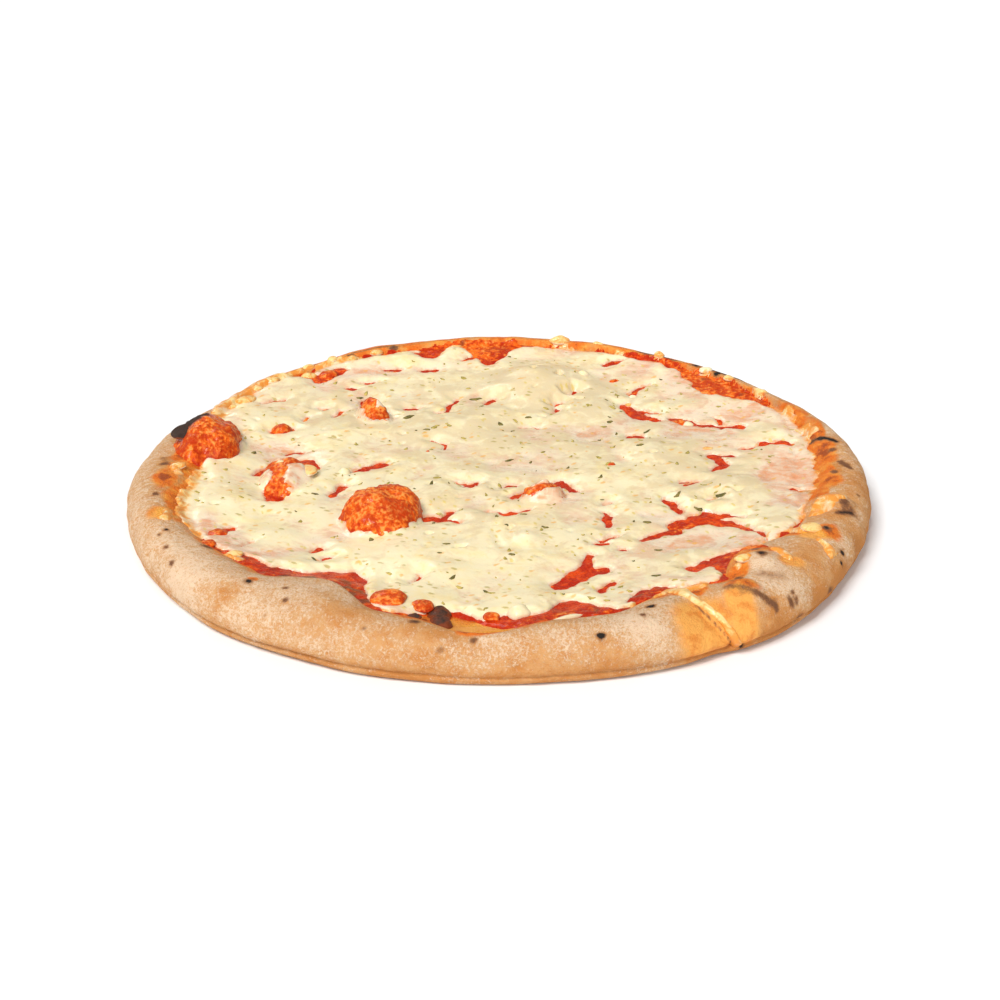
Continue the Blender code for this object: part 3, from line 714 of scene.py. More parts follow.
class Value:
    """A number in a material; sums on it add Math nodes."""

    def __init__(self, maker, socket):
        self.maker = maker
        self.socket = socket

    def __add__(self, other):
        return self.maker.maths("ADD", self, other)

    def __radd__(self, other):
        return self.maker.maths("ADD", other, self)

    def __sub__(self, other):
        return self.maker.maths("SUBTRACT", self, other)

    def __rsub__(self, other):
        return self.maker.maths("SUBTRACT", other, self)

    def __mul__(self, other):
        return self.maker.maths("MULTIPLY", self, other)

    def __rmul__(self, other):
        return self.maker.maths("MULTIPLY", other, self)

    def clipped(self):
        """Hold the number between 0 and 1."""
        return self.maker.maths("ADD", self, 0.0, clamp=True)

    def size(self):
        """Drop the number's sign."""
        return self.maker.maths("ABSOLUTE", self, 0.0)

    def eased(self, low, high):
        """Rise smoothly from 0 at low to 1 at high."""
        node = self.maker.node(
            "ShaderNodeMapRange",
            {"interpolation_type": "SMOOTHSTEP"},
            {"Value": self, "From Min": low, "From Max": high},
        )
        return Value(self.maker, node.outputs["Result"])


class Maker:
    """Builds one procedural material."""

    def __init__(self, name):
        self.material = bpy.data.materials.new(name)
        self.material.use_nodes = True
        self.tree = self.material.node_tree
        self.shader = self.tree.nodes["Principled BSDF"]
        coordinates = self.node("ShaderNodeTexCoord", {}, {})
        self.place = coordinates.outputs["Object"]

    def node(self, kind, settings, inputs):
        """Add a node with its settings, values and links."""
        node = self.tree.nodes.new(kind)
        for name, value in settings.items():
            setattr(node, name, value)
        for name, value in inputs.items():
            socket = node.inputs[name]
            value = getattr(value, "socket", value)
            if isinstance(value, bpy.types.NodeSocket):
                self.tree.links.new(value, socket)
            else:
                socket.default_value = value
        return node

    def maths(self, operation, first, second, clamp=False):
        """Add a Math node."""
        settings = {"operation": operation, "use_clamp": clamp}
        node = self.node("ShaderNodeMath", settings, {0: first, 1: second})
        return Value(self, node.outputs[0])

    def attribute(self, name):
        """Read a number stored on the mesh."""
        node = self.node("ShaderNodeAttribute", {"attribute_name": name}, {})
        return Value(self, node.outputs["Fac"])

    def noise(self, size, detail=3.0, rough=0.55, bend=0.0, place=None):
        """Noise whose lumps have about a size in metres."""
        inputs = {
            "Vector": place or self.place, "Scale": 1 / size, "Detail": detail,
            "Roughness": rough, "Distortion": bend,
        }
        return Value(self, self.node("ShaderNodeTexNoise", {}, inputs).outputs["Fac"])

    def spread(self, size, scale, turn, start):
        """Distance from the nearest of scattered points seen from above, in sizes."""
        inputs = {"Vector": self.stretched(scale, turn, start), "Scale": 1 / size}
        node = self.node("ShaderNodeTexVoronoi", {"voronoi_dimensions": "2D"}, inputs)
        return Value(self, node.outputs["Distance"])

    def stretched(self, scale, turn=0.0, start=0.0):
        """Object coordinates, moved, turned about Z and stretched."""
        turned = self.node("ShaderNodeMapping", {}, {
            "Vector": self.place, "Location": (start, start, 0),
            "Rotation": (0, 0, math.radians(turn)),
        }).outputs["Vector"]
        inputs = {"Vector": turned, "Scale": scale}
        return self.node("ShaderNodeMapping", {}, inputs).outputs["Vector"]

    def moved(self, start):
        """Object coordinates, moved."""
        return self.stretched((1, 1, 1), 0.0, start)

    def mix(self, first, second, share):
        """Mix two colours."""
        settings = {"data_type": "RGBA"}
        inputs = {"Factor": share, 6: colour(first), 7: colour(second)}
        return self.node("ShaderNodeMix", settings, inputs).outputs[2]

    def bump(self, height, distance, strength):
        """Raise the surface by a height pattern."""
        inputs = {"Height": height, "Distance": distance, "Strength": strength}
        return self.node("ShaderNodeBump", {}, inputs).outputs["Normal"]

    def finish(self, fixed, varied):
        """Set the shader's fixed values and links."""
        for name, value in fixed.items():
            self.shader.inputs[name].default_value = value
        for name, value in varied.items():
            value = getattr(value, "socket", value)
            self.tree.links.new(value, self.shader.inputs[name])
        return self.material


def colour(value):
    """Pass a link through, and give a plain colour its alpha."""
    if isinstance(value, bpy.types.NodeSocket):
        return value
    return (*tuple(value)[:3], 1.0)


def dough_material(settings):
    """Baked dough: streaks of flour over tan, browned, charred and stained in places."""
    make = Maker("baked_dough")
    patch = make.noise(13 * MM, 3, 0.6, 0.6)
    powder = make.noise(1.3 * MM, 4, 0.7, 1.6)
    fine = make.noise(0.7 * MM, 3, 0.6, 0.8)
    along = make.noise(1.4 * MM, 3, 0.65, 1.2, make.stretched((0.35, 1, 1)))
    across = make.noise(1.4 * MM, 3, 0.65, 1.2, make.stretched((1, 0.4, 1)))
    side = make.attribute("side")
    streaks = along * side + across * (1 - side)
    toast = make.noise(6 * MM, 4, 0.6, 0.3)
    stain_at = make.attribute("stain")
    floured = make.attribute("flour")
    baked = (toast + (fine - 0.5) * 0.7 - floured * 0.22).eased(0.34, 0.68)
    tan = make.mix(settings.tan, settings.golden, baked)
    fleck = powder * 0.5 + streaks * 0.5 + (fine - 0.5) * 0.35
    cover = floured + (patch - 0.5) * 1.5
    white = ((fleck - 0.5) * 6.5 + cover).clipped()
    skin = make.mix(tan, settings.flour, white)
    glaze = (make.attribute("glaze") + (patch - 0.5) * 0.6 + (powder - 0.5) * 0.4).eased(0.3, 0.8)
    warmth = (toast + (fine - 0.5) * 0.4).eased(0.42, 0.68)
    skin = make.mix(skin, make.mix((0.90, 0.41, 0.09), (0.78, 0.26, 0.045), warmth), glaze)
    stain = (stain_at + (powder - 0.5) * 0.5 + (toast - 0.5) * 0.7).eased(0.25, 0.7)
    heat = (toast * 0.7 + powder * 0.4 + stain_at * 0.15 - glaze * 0.2).eased(0.44, 0.74)
    orange = make.mix((0.95, 0.42, 0.065), (0.76, 0.165, 0.015), heat)
    skin = make.mix(skin, orange, stain)
    deep = (stain_at + (toast - 0.5) * 1.8 + (powder - 0.5) * 0.8 - glaze).eased(0.92, 1.3)
    skin = make.mix(skin, (0.36, 0.07, 0.014), deep)
    brown_at = make.attribute("brown")
    brown = (brown_at + (powder - 0.5) * 0.9 + (toast - 0.5) * 0.5).eased(0.2, 1.0)
    skin = make.mix(skin, make.mix((0.50, 0.19, 0.05), (0.20, 0.085, 0.04), brown), brown)
    char = (make.attribute("char") + (powder - 0.5) * 0.3).eased(0.42, 0.62)
    skin = make.mix(skin, (0.025, 0.018, 0.014), char)
    wrinkles = make.noise(2.4 * MM, 4, 0.62, 1.6)
    grain = fleck * 0.8 + wrinkles * 0.8 + white * 0.12
    rough = 0.86 - stain * 0.46 - glaze * 0.34 - char * 0.1
    return make.finish(
        {"Specular IOR Level": 0.15, "Subsurface Weight": 0.05, "Subsurface Scale": 0.003},
        {"Base Color": skin, "Roughness": rough, "Normal": make.bump(grain, 0.9 * MM, 0.75)},
    )


def sauce_material(settings):
    """Cooked tomato: deep red where it pools, orange and flecked where it has roasted."""
    make = Maker("cooked_tomato")
    pulp = make.noise(2.6 * MM, 3, 0.55, 0.2)
    pool = make.noise(8 * MM, 3, 0.55)
    spots = make.noise(1.5 * MM, 3, 0.55)
    roast = make.attribute("roast")
    red = make.mix(settings.deep, settings.red, (pulp * 0.7 + pool * 0.5).eased(0.42, 0.74))
    heat = (roast + (pulp - 0.5) * 1.2 + (spots - 0.5) * 0.9).eased(0.1, 0.85)
    skin = make.mix(red, settings.roasted, heat)
    pale = (roast * 0.3 + spots * 1.2 + pulp * 0.3).eased(0.98, 1.14)
    skin = make.mix(skin, (0.94, 0.36, 0.08), pale * 0.75)
    blush = 1 - (pool * 0.5 + spots * 0.4 + pulp * 0.4).eased(0.56, 0.78)
    skin = make.mix(skin, settings.deep, blush * 0.75)
    dark = (make.attribute("brown") + (pulp - 0.5) * 0.5).eased(0.3, 0.8)
    skin = make.mix(skin, (0.20, 0.045, 0.015), dark)
    char = (make.attribute("char") + (pulp - 0.5) * 0.35).eased(0.4, 0.6)
    skin = make.mix(skin, make.mix((0.02, 0.016, 0.014), (0.10, 0.06, 0.045), pool), char)
    rough = 0.3 + roast * 0.1 + (spots - 0.5) * 0.4 + char * 0.4
    grain = pulp * 0.6 + spots * 0.8
    return make.finish(
        {
            "Specular IOR Level": 0.06, "Subsurface Weight": 0.08, "Subsurface Scale": 0.003,
            "Coat Roughness": 0.09,
        },
        {"Base Color": skin, "Roughness": rough, "Coat Weight": 0.2 - char * 0.2,
         "Normal": make.bump(grain, 1.2 * MM, 0.8)},
    )


# Specks in the cheese: spacing in mm, turn, where the patches of specks begin, colour, start
CHEESE_SPECKS = (
    (5.6, 20, 0.54, (0.44, 0.33, 0.07), 0.0), (6.0, -35, 0.52, (0.84, 0.42, 0.08), 0.13),
    (5.2, 70, 0.53, (0.72, 0.53, 0.12), 0.29),
)


def cheese_material(settings):
    """Melted mozzarella: creamy where thick, rosy and mauve where the sauce shines through, with painted shade in
    places.
    """
    make = Maker("melted_mozzarella")
    soft = make.noise(12 * MM, 4, 0.55, 0.7)
    cloud = make.noise(4.5 * MM, 4, 0.6, 1.4)
    fine = make.noise(1.3 * MM, 3, 0.6, 0.5)
    strings = make.noise(3.2 * MM, 3, 0.6, 1.0, make.stretched((0.4, 1, 1), 14))
    film = make.attribute("film")
    cream = make.mix(settings.cream, settings.butter, (soft * 0.7 + cloud * 0.4).eased(0.5, 0.74))
    depth = make.noise(9 * MM, 3, 0.55, 1.0, make.moved(0.4))
    # Painted shade: the cheese is mixed towards a greyer tone at the stored places of painted shade, together with
    # tone that differs at random from the depth and cloud noise
    dull = (depth * 0.8 + cloud * 0.3 + make.attribute("dull") * 0.25).eased(0.56, 0.8)
    cream = make.mix(cream, (0.74, 0.58, 0.34), dull * 0.75)
    veil = (film * 1.1 + (cloud - 0.5) * 0.8 + (strings - 0.5) * 0.5).eased(0.12, 1.0)
    milky = (depth * 0.7 + strings * 0.4 - film * 0.1).eased(0.42, 0.62)
    skin = make.mix(cream, make.mix((0.86, 0.68, 0.49), settings.rosy, milky), veil)
    thin = (film + (cloud - 0.5) * 0.5 + (strings - 0.5) * 0.4).eased(0.78, 1.2)
    skin = make.mix(skin, settings.sheer, thin * 0.85)
    threads = 1 - (strings - 0.5).size().eased(0.0, 0.035)
    skin = make.mix(skin, (0.62, 0.30, 0.14), threads * veil * soft.eased(0.48, 0.66) * 0.5)
    for size, turn, low, tint, start in CHEESE_SPECKS:
        spread = make.spread(size * MM, (0.6, 1.1, 1), turn, start)
        mask = make.noise(9 * MM, 2, 0.5, 0.0, make.moved(start)).eased(low, low + 0.06)
        speck = (1 - (spread + (fine - 0.5) * 0.2).eased(0.06, 0.18)) * mask
        skin = make.mix(skin, tint, speck * 0.7)
    gold = make.attribute("gold")
    warmth = (cloud + film * 0.2 + (gold - 0.8) * 0.2).eased(0.5, 0.75)
    rind = make.mix((0.92, 0.63, 0.25), (0.82, 0.30, 0.05), warmth)
    skin = make.mix(skin, rind, (gold + (cloud - 0.5) * 1.2).eased(0.35, 0.95))
    rough = 0.36 + (cloud - 0.5) * 0.3 - film * 0.1
    grain = soft * 0.9 + cloud * 0.15 + fine * 0.06 + strings * 0.12
    return make.finish(
        {
            "Specular IOR Level": 0.2, "Subsurface Weight": 0.18, "Subsurface Scale": 0.005,
            "Coat Weight": 0.25, "Coat Roughness": 0.12,
            "Subsurface Radius": (1.0, 0.7, 0.4),
        },
        {"Base Color": skin, "Roughness": rough, "Normal": make.bump(grain, 0.5 * MM, 0.5)},
    )


def herb_material(name, dark, light):
    """Dried leaf flakes, uneven in colour."""
    make = Maker(name)
    mottle = make.noise(2.0 * MM, 3, 0.6)
    skin = make.mix(dark, light, mottle.eased(0.35, 0.65))
    grain = make.noise(0.5 * MM, 2, 0.6)
    return make.finish(
        {"Specular IOR Level": 0.3},
        {"Base Color": skin, "Roughness": 0.55 + grain * 0.2,
         "Normal": make.bump(grain, 0.2 * MM, 0.5)},
    )


# ------------------------------------------------------------------ the pieces

# The largest herb flakes: x, y, half length, turn in degrees
BIG_HERBS = (
    (-10.4, 70.1, 2.9, 20), (-38.2, 49.8, 2.6, 40), (56.8, 18, 1.7, 20), (39.7, -9.3, 1.5, 60),
    (69, -24.7, 2.0, 70), (3.8, 7.8, 2.1, 30), (-26.6, -15.3, 1.5, 80), (-71.4, -24.3, 1.6, 10),
    (-19.5, -68.7, 1.6, 0), (68.5, -25.1, 1.6, 30), (85.5, -24.6, 2.2, 10), (75.8, -36, 1.8, 0),
    (55.5, -48.2, 1.7, 0), (55.9, -89, 1.9, 0), (-1.1, -45.6, 1.6, 90), (60.8, 36.2, 2.0, 40),
    (-16.7, -94, 1.9, 60), (-30, 35, 1.6, 160), (12, 48, 1.5, 0), (46, 46, 1.4, 20),
)
# How far from the middle the scattered flakes lie, and how thick the flakes are
HERB_REACH = 122 * MM
HERB_THICKNESS = 0.28 * MM
# Spots on the crust in millimetres: x, y, z, radius and kind, from 1 for brown to 2 for char
CRUST_SPOTS = (
    (-121.7, -60.3, 17.9, 2.2, 2), (-124, -63, 17, 1.6, 1), (-120.6, -71, 16.4, 2.0, 1),
    (-117, -81, 14.9, 2.4, 1.4), (-106, -69, 15.5, 4.0, 1.3), (-87.3, -101, 18.3, 3.4, 1.9),
    (-74, -105.4, 18.3, 2.0, 1.5), (-73.6, -113, 17.5, 2.2, 1.4), (-80, -117, 14, 2.0, 0.7),
    (-45.5, -131, 16.8, 2.0, 0.8), (-28.6, -127.6, 17, 3.4, 1.6), (-8.6, -136.7, 15.3, 2.2, 1.5),
    (-19.5, -139.5, 13.3, 2.6, 0.8), (33.8, -134.9, 16, 2.8, 2), (51.9, -116.5, 16.8, 3.2, 1.9),
    (48.6, -123.4, 17.6, 2.4, 1.5), (83.4, -95.5, 17.1, 3.0, 1.6), (93, -83.5, 20.4, 4.2, 1.7),
    (91.6, -77, 18.8, 4.0, 1.5), (120, -57, 17, 3.2, 1.8), (124.4, -68.4, 12.9, 2.6, 2),
    (123.4, -73.3, 11.2, 2.0, 2), (103, -103, 12.3, 2.6, 1.7), (102, -101.6, 14.4, 1.8, 1.4),
    (129.5, -38.2, 18.1, 5.0, 1.5), (137, -25, 14.8, 2.0, 1.0), (82.9, -118.8, 2.8, 2.4, 1.7),
    (132.3, 13.4, 16.4, 3.0, 1.4), (136, -0.5, 16.4, 3.0, 1.5), (130.7, -5.6, 15.7, 2.6, 1.4),
    (106, 93, 14, 4.2, 2), (94.6, 98, 14.6, 3.6, 2), (86.4, 107.3, 14.3, 4.2, 1.7),
    (65, 120, 14.4, 2.6, 1.6), (-47.6, 128.3, 14.4, 4.0, 1.5), (-131.4, -1.3, 17.2, 3.4, 1.3),
    (-130.3, -30.8, 18.3, 2.4, 1.2), (-110, 76, 14, 4.6, 1.1), (-66, 119, 14, 4.4, 1.0),
    (-92, 99, 14, 3.6, 0.9), (104.7, -103.3, 5.4, 3.2, 1.3), (118, -86, 6.6, 3.4, 1.3),
)
# Long brown or charred marks: start x, y, end x, y, half width, kind
CRUST_MARKS = (
    (125, 29, 129, 27, 1.2, 1.6), (129, 27, 135, 20, 1.4, 1.8), (79, -106, 88, -109, 2.2, 0.8),
    (88, -109, 95, -109.5, 1.7, 1.05), (92, -96, 98, -96, 3.4, 0.66), (81, -100, 84, -98, 1.8, 1.0),
    (-66, 122, -50, 129, 0.8, 0.8), (62, 124, 78, 114, 0.7, 1.5), (90, 105, 106, 90, 1.0, 1.7),
    (127, -43, 132, -41, 2.0, 1.6), (101, -105, 104, -108, 1.3, 1.5), (134, 2, 137, -3, 1.6, 1.2),
    (-133, 6, -130, -2, 1.8, 0.7),
)
# Where the crust has little flour: x, y, reach across, reach in depth
BARE_PLACES = (
    (72, -126, 15, 18), (92, -120, 14, 10), (132, 6, 8, 30), (126, -46, 8, 8), (-52, -124, 14, 8),
    (20, -144, 30, 5), (-128, -10, 7, 24), (120, -94, 12, 10), (0, -124, 26, 8), (-28, -134, 18, 8),
    (112, -76, 8, 10), (135, -28, 8, 10), (44, -142, 20, 6), (-95, -106, 6, 4), (114, -92, 10, 8),
    (124, -78, 7, 9), (130, -52, 6, 10), (98, -111, 9, 8), (139, -15, 9, 16),
)
# Where the crust is glazed golden with melted fat: x, y, reach across, reach in depth
GLAZED_PLACES = (
    (70, -123, 13, 15), (84, -119, 6, 10), (-12, -118, 11, 6), (-3, -125, 12, 5), (82, -112, 6, 8),
    (-127, -46, 5, 6), (66, -100, 6, 4), (104, -84, 6, 5), (114, -62, 6, 5), (45, -107, 8, 3),
)
# Where more flour has stuck: x, y, reach across, reach in depth
FLOURED_PLACES = (
    (136, 9, 5, 9), (138, -32, 4, 8), (100, -98, 14, 8), (62, -124, 6, 8), (50, -128, 12, 8),
    (95, -90, 8, 7), (-110, -88, 10, 10), (128, -68, 5, 10), (134, 32, 4, 6),
)
# Where a baked band with fat runs between cheese and crust: direction, spread, strength
BAKED_BAND = ((188, 36, 0.95), (3, 42, 1.0), (266, 26, 0.9), (312, 22, 0.8), (225, 16, 0.5))
# Where sauce, fat and cheese have stained the crust orange: x, y, reach across, in depth
STAINS = (
    (-11, -113, 12, 6), (-1, -127, 14, 5), (-29, -117, 9, 8), (42, -104, 9, 7), (52, -102, 8, 6),
    (129, 13, 5, 12), (128, -11, 5, 8), (110, -56, 7, 5), (92.5, -74, 7, 7), (120, -59, 5, 6),
    (-123, -30, 5, 8), (-124, -46, 4, 6), (-129, -15, 5, 9), (-126, -3, 4, 6), (-105, -61, 7, 6),
    (-98, -71, 6, 5), (-90, -80, 5, 4), (84, -104, 6, 5), (66, -103, 7, 5), (92, -74, 8, 6),
    (24, -119, 8, 4), (-126, 8, 4, 6), (120, 50, 7, 14), (-86, -99, 2, 2), (126, 30, 5, 8),
)
# Where shade is painted on the cheese as a greyer, darker tone: x, y, reach across, in depth
PAINTED_SHADE_PLACES = (
    (90, 20, 50, 60), (10, 40, 70, 45), (0, -25, 40, 22), (20, 88, 60, 30), (-60, 70, 40, 30),
    (70, -50, 40, 30),
)
# Where the sauce has roasted: x, y, reach across, in depth
ROASTED_PLACES = ((78, -44, 16, 6), (96, 92, 40, 30), (-95, 60, 30, 60), (-8, 132, 20, 14))
# Directions in which the sauce's edge has browned: direction, spread, strength
BROWNED_EDGES = ((237, 17, 0.6), (268, 9, 0.3))
# The burnt side of the left bubble and the brown tip of a low one
BURNT_SIDE = ((-126, 31, 8, 11),)
BROWN_TIP = ((-83.5, 13, 5, 4),)
# Colours of the herbs' kinds: darkest and lightest
DARK_HERBS = ((0.09, 0.08, 0.018), (0.26, 0.20, 0.05))
OLIVE_HERBS = ((0.30, 0.24, 0.045), (0.60, 0.45, 0.12))
# Lamps: name, where it shines from, spread in degrees and share of the main light
LAMPS = (
    ("key", (-0.45, -0.5, 0.85), 28, 0.85), ("glint", (-0.15, -0.45, 1.0), 5, 0.15),
    ("front", (0.35, -1.0, 0.5), 45, 0.38), ("back", (-0.4, 0.9, 0.75), 20, 0.14),
)
CAMERA_AIM = (0.00014, -0.0168, 0.009)
CAMERA_LENS = 74.52
# The crust's rings: how many lie underneath, and those at the shoulder and the crest
UNDER_RINGS = 10
SHOULDER_RING = 40
CREST_RING = 58


def near_places(x, y, places):
    """Soft spots of 1 round each place."""
    total = np.zeros_like(x)
    for middle_x, middle_y, reach_x, reach_y in places:
        gone = np.hypot((x / MM - middle_x) / reach_x, (y / MM - middle_y) / reach_y)
        total = np.maximum(total, np.exp(-gone ** 2))
    return total


def spot_masks(places):
    """Brown and char at each place, from the tables of spots and marks."""
    x, y, z = places.T / MM
    ragged = 1 + 0.4 * lumps(x, y, 2.8, 61, z) + 0.25 * lumps(x, y, 1.3, 60, z)
    marks = []
    for spot_x, spot_y, spot_z, radius, kind in CRUST_SPOTS:
        gone = np.sqrt((x - spot_x) ** 2 + (y - spot_y) ** 2 + (z - spot_z) ** 2)
        marks.append((gone * ragged / (0.6 * radius), kind, 1))
    on_top = eased(z, 8, 12)
    for x1, y1, x2, y2, width, kind in CRUST_MARKS:
        inside = stroke_distance(x * MM, y * MM, ((x1, y1, 0, x2, y2, 0.001),)) / MM
        marks.append((-inside * ragged / width, kind, on_top))
    brown, char = np.zeros_like(x), np.zeros_like(x)
    for gone, kind, share in marks:
        brown = np.maximum(brown, share * min(kind, 1.1) * np.exp(-gone ** 2 / 1.5))
        char = np.maximum(char, share * (kind - 1) * np.exp(-gone ** 2 / 0.7))
    return brown, char


def crust_profile():
    """Rings of the evenly turned dough, from the middle of the underside to the top's."""
    half = DIAMETER / 2
    rings = [(r * MM, 0) for r in (0, 20, 50, 80, 105, 120, 128, 133, 136.5, 139)]
    rings += [(half - inset * MM, height * MM) for inset, height in (
        (4.6, 0.15), (3.4, 0.5), (2.5, 1.0), (1.9, 1.6), (1.5, 2.2), (1.35, 2.8), (1.5, 3.3),
        (1.9, 3.7), (1.9, 4.0), (1.2, 4.4), (0.65, 4.9), (0.3, 5.4), (0.1, 6.0),
    )]
    crown = 36
    for step in range(crown):
        turn = 0.5 * math.pi * (1 - step / crown)
        across = math.sin(turn) ** (2 / RIM_FULLNESS)
        up = math.cos(turn) ** (2 / RIM_FULLNESS)
        height = BELLY_HEIGHT + (RIM_HEIGHT - BELLY_HEIGHT) * up
        rings.append((CREST_RADIUS + (half - CREST_RADIUS) * across, height))
    for radius in np.linspace(CREST_RADIUS, EDGE_RADIUS - 6 * MM, 24):
        rings.append((radius, float(profile_height(np.array([radius]))[0])))
    for radius in np.linspace(EDGE_RADIUS - 8 * MM, FLOOR_RADIUS, 10):
        rings.append((radius, float(profile_height(np.array([radius]))[0])))
    rings += [(r * MM, FLOOR_HEIGHT) for r in (75, 50, 25, 0)]
    return np.array(rings)


def crust_places(rings, ring, angle):
    """Places on the crust, from how far along the rings and in which direction they lie."""
    even = np.interp(ring, np.arange(len(rings)), rings[:, 0])
    plain = np.interp(ring, np.arange(len(rings)), rings[:, 1])
    radius = between_rings(even, EVEN_RINGS, (0, FLOOR_RADIUS, *ring_radii(angle)))
    share = rim_share(even)
    lump = soft_lumps(even * np.cos(angle), even * np.sin(angle), plain)
    radius += 0.5 * lump * plain / RIM_HEIGHT * share
    x, y = radius * np.cos(angle), radius * np.sin(angle)
    height = plain + (waved(angle, CREST_WAVES) + lump) * share * plain / RIM_HEIGHT
    top = eased(ring, SHOULDER_RING, CREST_RING)
    height += uneven(x, y, *DOUGH_PIMPLES) * share * top
    side = share * (1 - top) * eased(plain, 0.2 * MM, 3 * MM)
    radius += uneven(x, y, (0.5, 10, 5), (0.2, 4, 6), z=plain) * side
    for bubble in RIM_BUBBLES:
        height = np.where(top > 0, joined(height, bubble_height(x, y, bubble), 1.5 * MM), height)
    outer = eased(plain, 1 * MM, 5 * MM) * eased(even, 126 * MM, 136 * MM)
    radius -= 1.9 * MM * crease_mark(angle, plain, 0.8) * outer
    flap = waved(angle, ((238, 14, 1.0),))
    over = np.exp(-((even - EDGE_RADIUS - 2.5 * MM) / (2.2 * MM)) ** 2)
    over *= ring > SHOULDER_RING
    radius -= 1.6 * MM * flap * over
    height += 0.6 * MM * flap * over
    height = np.where(ring < UNDER_RINGS, 0.25 * MM * np.abs(lumps(x, y, 6 * MM, 7)), height)
    return np.stack([radius * np.cos(angle), radius * np.sin(angle), height], axis=1)


def crease_mark(angle, height, width):
    """1 along the fold in the crust, falling to 0 beside it."""
    offset = np.degrees(angle) % 360 - CREASE[0] - CREASE[1] * (height / MM - 5)
    return np.exp(-(offset / width) ** 2)


class PIZZA_OT_add_crust(bpy.types.Operator):
    """Shape the dough base with its raised, uneven rim"""

    bl_idname = "pizza.add_crust"
    bl_label = "Add Crust"

    def execute(self, context):
        settings = context.scene.pizza_dough
        rings = crust_profile()
        deselect()
        bpy.ops.mesh.primitive_grid_add(
            x_subdivisions=settings.steps_round, y_subdivisions=len(rings) - 1, size=1.0
        )
        crust = context.object
        sheet = places_of(crust)
        angle = (sheet[:, 0] + 0.5) * 2 * np.pi
        angle = np.where(angle > 2 * np.pi - 0.001, 0, angle)
        ring = np.rint((sheet[:, 1] + 0.5) * (len(rings) - 1))
        places = crust_places(rings, ring, angle)
        places[(ring == 0) | (ring == len(rings) - 1), :2] = 0
        set_places(crust, places)
        close_seam(crust)
        self.paint(crust)
        finish_piece(crust, "crust_baked", dough_material(settings), "crust", "crust")
        return {"FINISHED"}

    def paint(self, crust):
        """Note how browned, burnt, stained and floured the dough is all over."""
        places = places_of(crust)
        x, y, height = places.T
        angle = np.arctan2(y, x)
        brown, char = spot_masks(places)
        fold = crease_mark(angle, height, 0.35) * eased(np.hypot(x, y), 128 * MM, 134 * MM)
        brown = np.maximum(brown, 0.9 * fold * eased(height, 2 * MM, 5 * MM))
        inside = sauce_inside(x, y) / MM
        back = np.minimum(1.5 * waved(angle, ((94, 92, 1.0),)), 1)
        up = eased(height, 2 * MM, 5 * MM)
        beyond = beyond_edge(x, y) + 3 * MM * lumps(x, y, 11 * MM, 65)
        band = eased(beyond, -6 * MM, -2 * MM) * (1 - eased(beyond, 4 * MM, 8 * MM))
        band *= waved(angle, BAKED_BAND)
        stain = eased(inside, -4.5, 0.5) * (0.5 + 0.4 * lumps(x, y, 10 * MM, 62))
        stain = np.maximum(stain, band * (0.9 + 0.5 * lumps(x, y, 8 * MM, 64)))
        stain = np.maximum(stain, 1.2 * near_places(x, y, STAINS) * up)
        crown = eased(height, 9 * MM, 14 * MM)
        stain = np.maximum(stain, back * crown * (0.6 + 0.35 * lumps(x, y, 7 * MM, 63)))
        flour = 0.6 - 0.85 * near_places(x, y, BARE_PLACES) - 0.9 * back
        low = 1 - eased(height, 8 * MM, 15 * MM)
        flour -= 0.8 * waved(angle, ((335, 42, 1.0),)) * low
        flour -= 0.45 * (1 - eased(height, 4 * MM, 10 * MM)) + 0.5 * band
        flour -= 0.1 * waved(angle, ((5, 30, 1.0), (180, 20, 0.6)))
        flour += 0.5 * near_places(x, y, FLOURED_PLACES)
        glaze = 1.15 * near_places(x, y, GLAZED_PLACES) * up
        set_attributes(crust, brown=brown, char=char, stain=stain, flour=flour, glaze=glaze,
                       side=np.cos(angle) ** 2)


class PIZZA_OT_add_sauce(bpy.types.Operator):
    """Spread the tomato sauce over the dough and its bubbles"""

    bl_idname = "pizza.add_sauce"
    bl_label = "Add Sauce"

    def execute(self, context):
        settings = context.scene.pizza_sauce
        sauce = sheet_grid(settings.cell, DIAMETER / 2 + 2 * MM)
        x, y, _ = places_of(sauce).T
        inside = sauce_inside(x, y)
        domes = [bubble_height(x, y, bubble) for bubble in BUBBLES]
        keep = (inside > -2.2 * MM) | (np.max(domes, axis=0) > 0)
        keep &= np.hypot(x, y) < ring_radii(np.arctan2(y, x))[2] - OUTLINE_MARGIN
        set_places(sauce, np.stack([x, y, sauce_height(x, y)], axis=1))
        keep_vertices(sauce, keep)
        x, y, _ = places_of(sauce).T
        edge = eased(beyond_edge(x, y), -14 * MM, -4 * MM)
        hot = edge * (0.25 + 0.7 * lumps(x, y, 5 * MM, 25))
        deep = waved(np.arctan2(y, x), BROWNED_EDGES) + 0.9 * lumps(x, y, 5 * MM, 26)
        roast = np.maximum(near_places(x, y, ROASTED_PLACES) * 0.75, hot)
        set_attributes(sauce, roast=roast, brown=edge * deep)
        close_underneath(sauce, SAUCE_UNDERSIDE)
        finish_piece(sauce, "sauce_layer", sauce_material(settings), "sauce", "tomato_sauce")
        return {"FINISHED"}


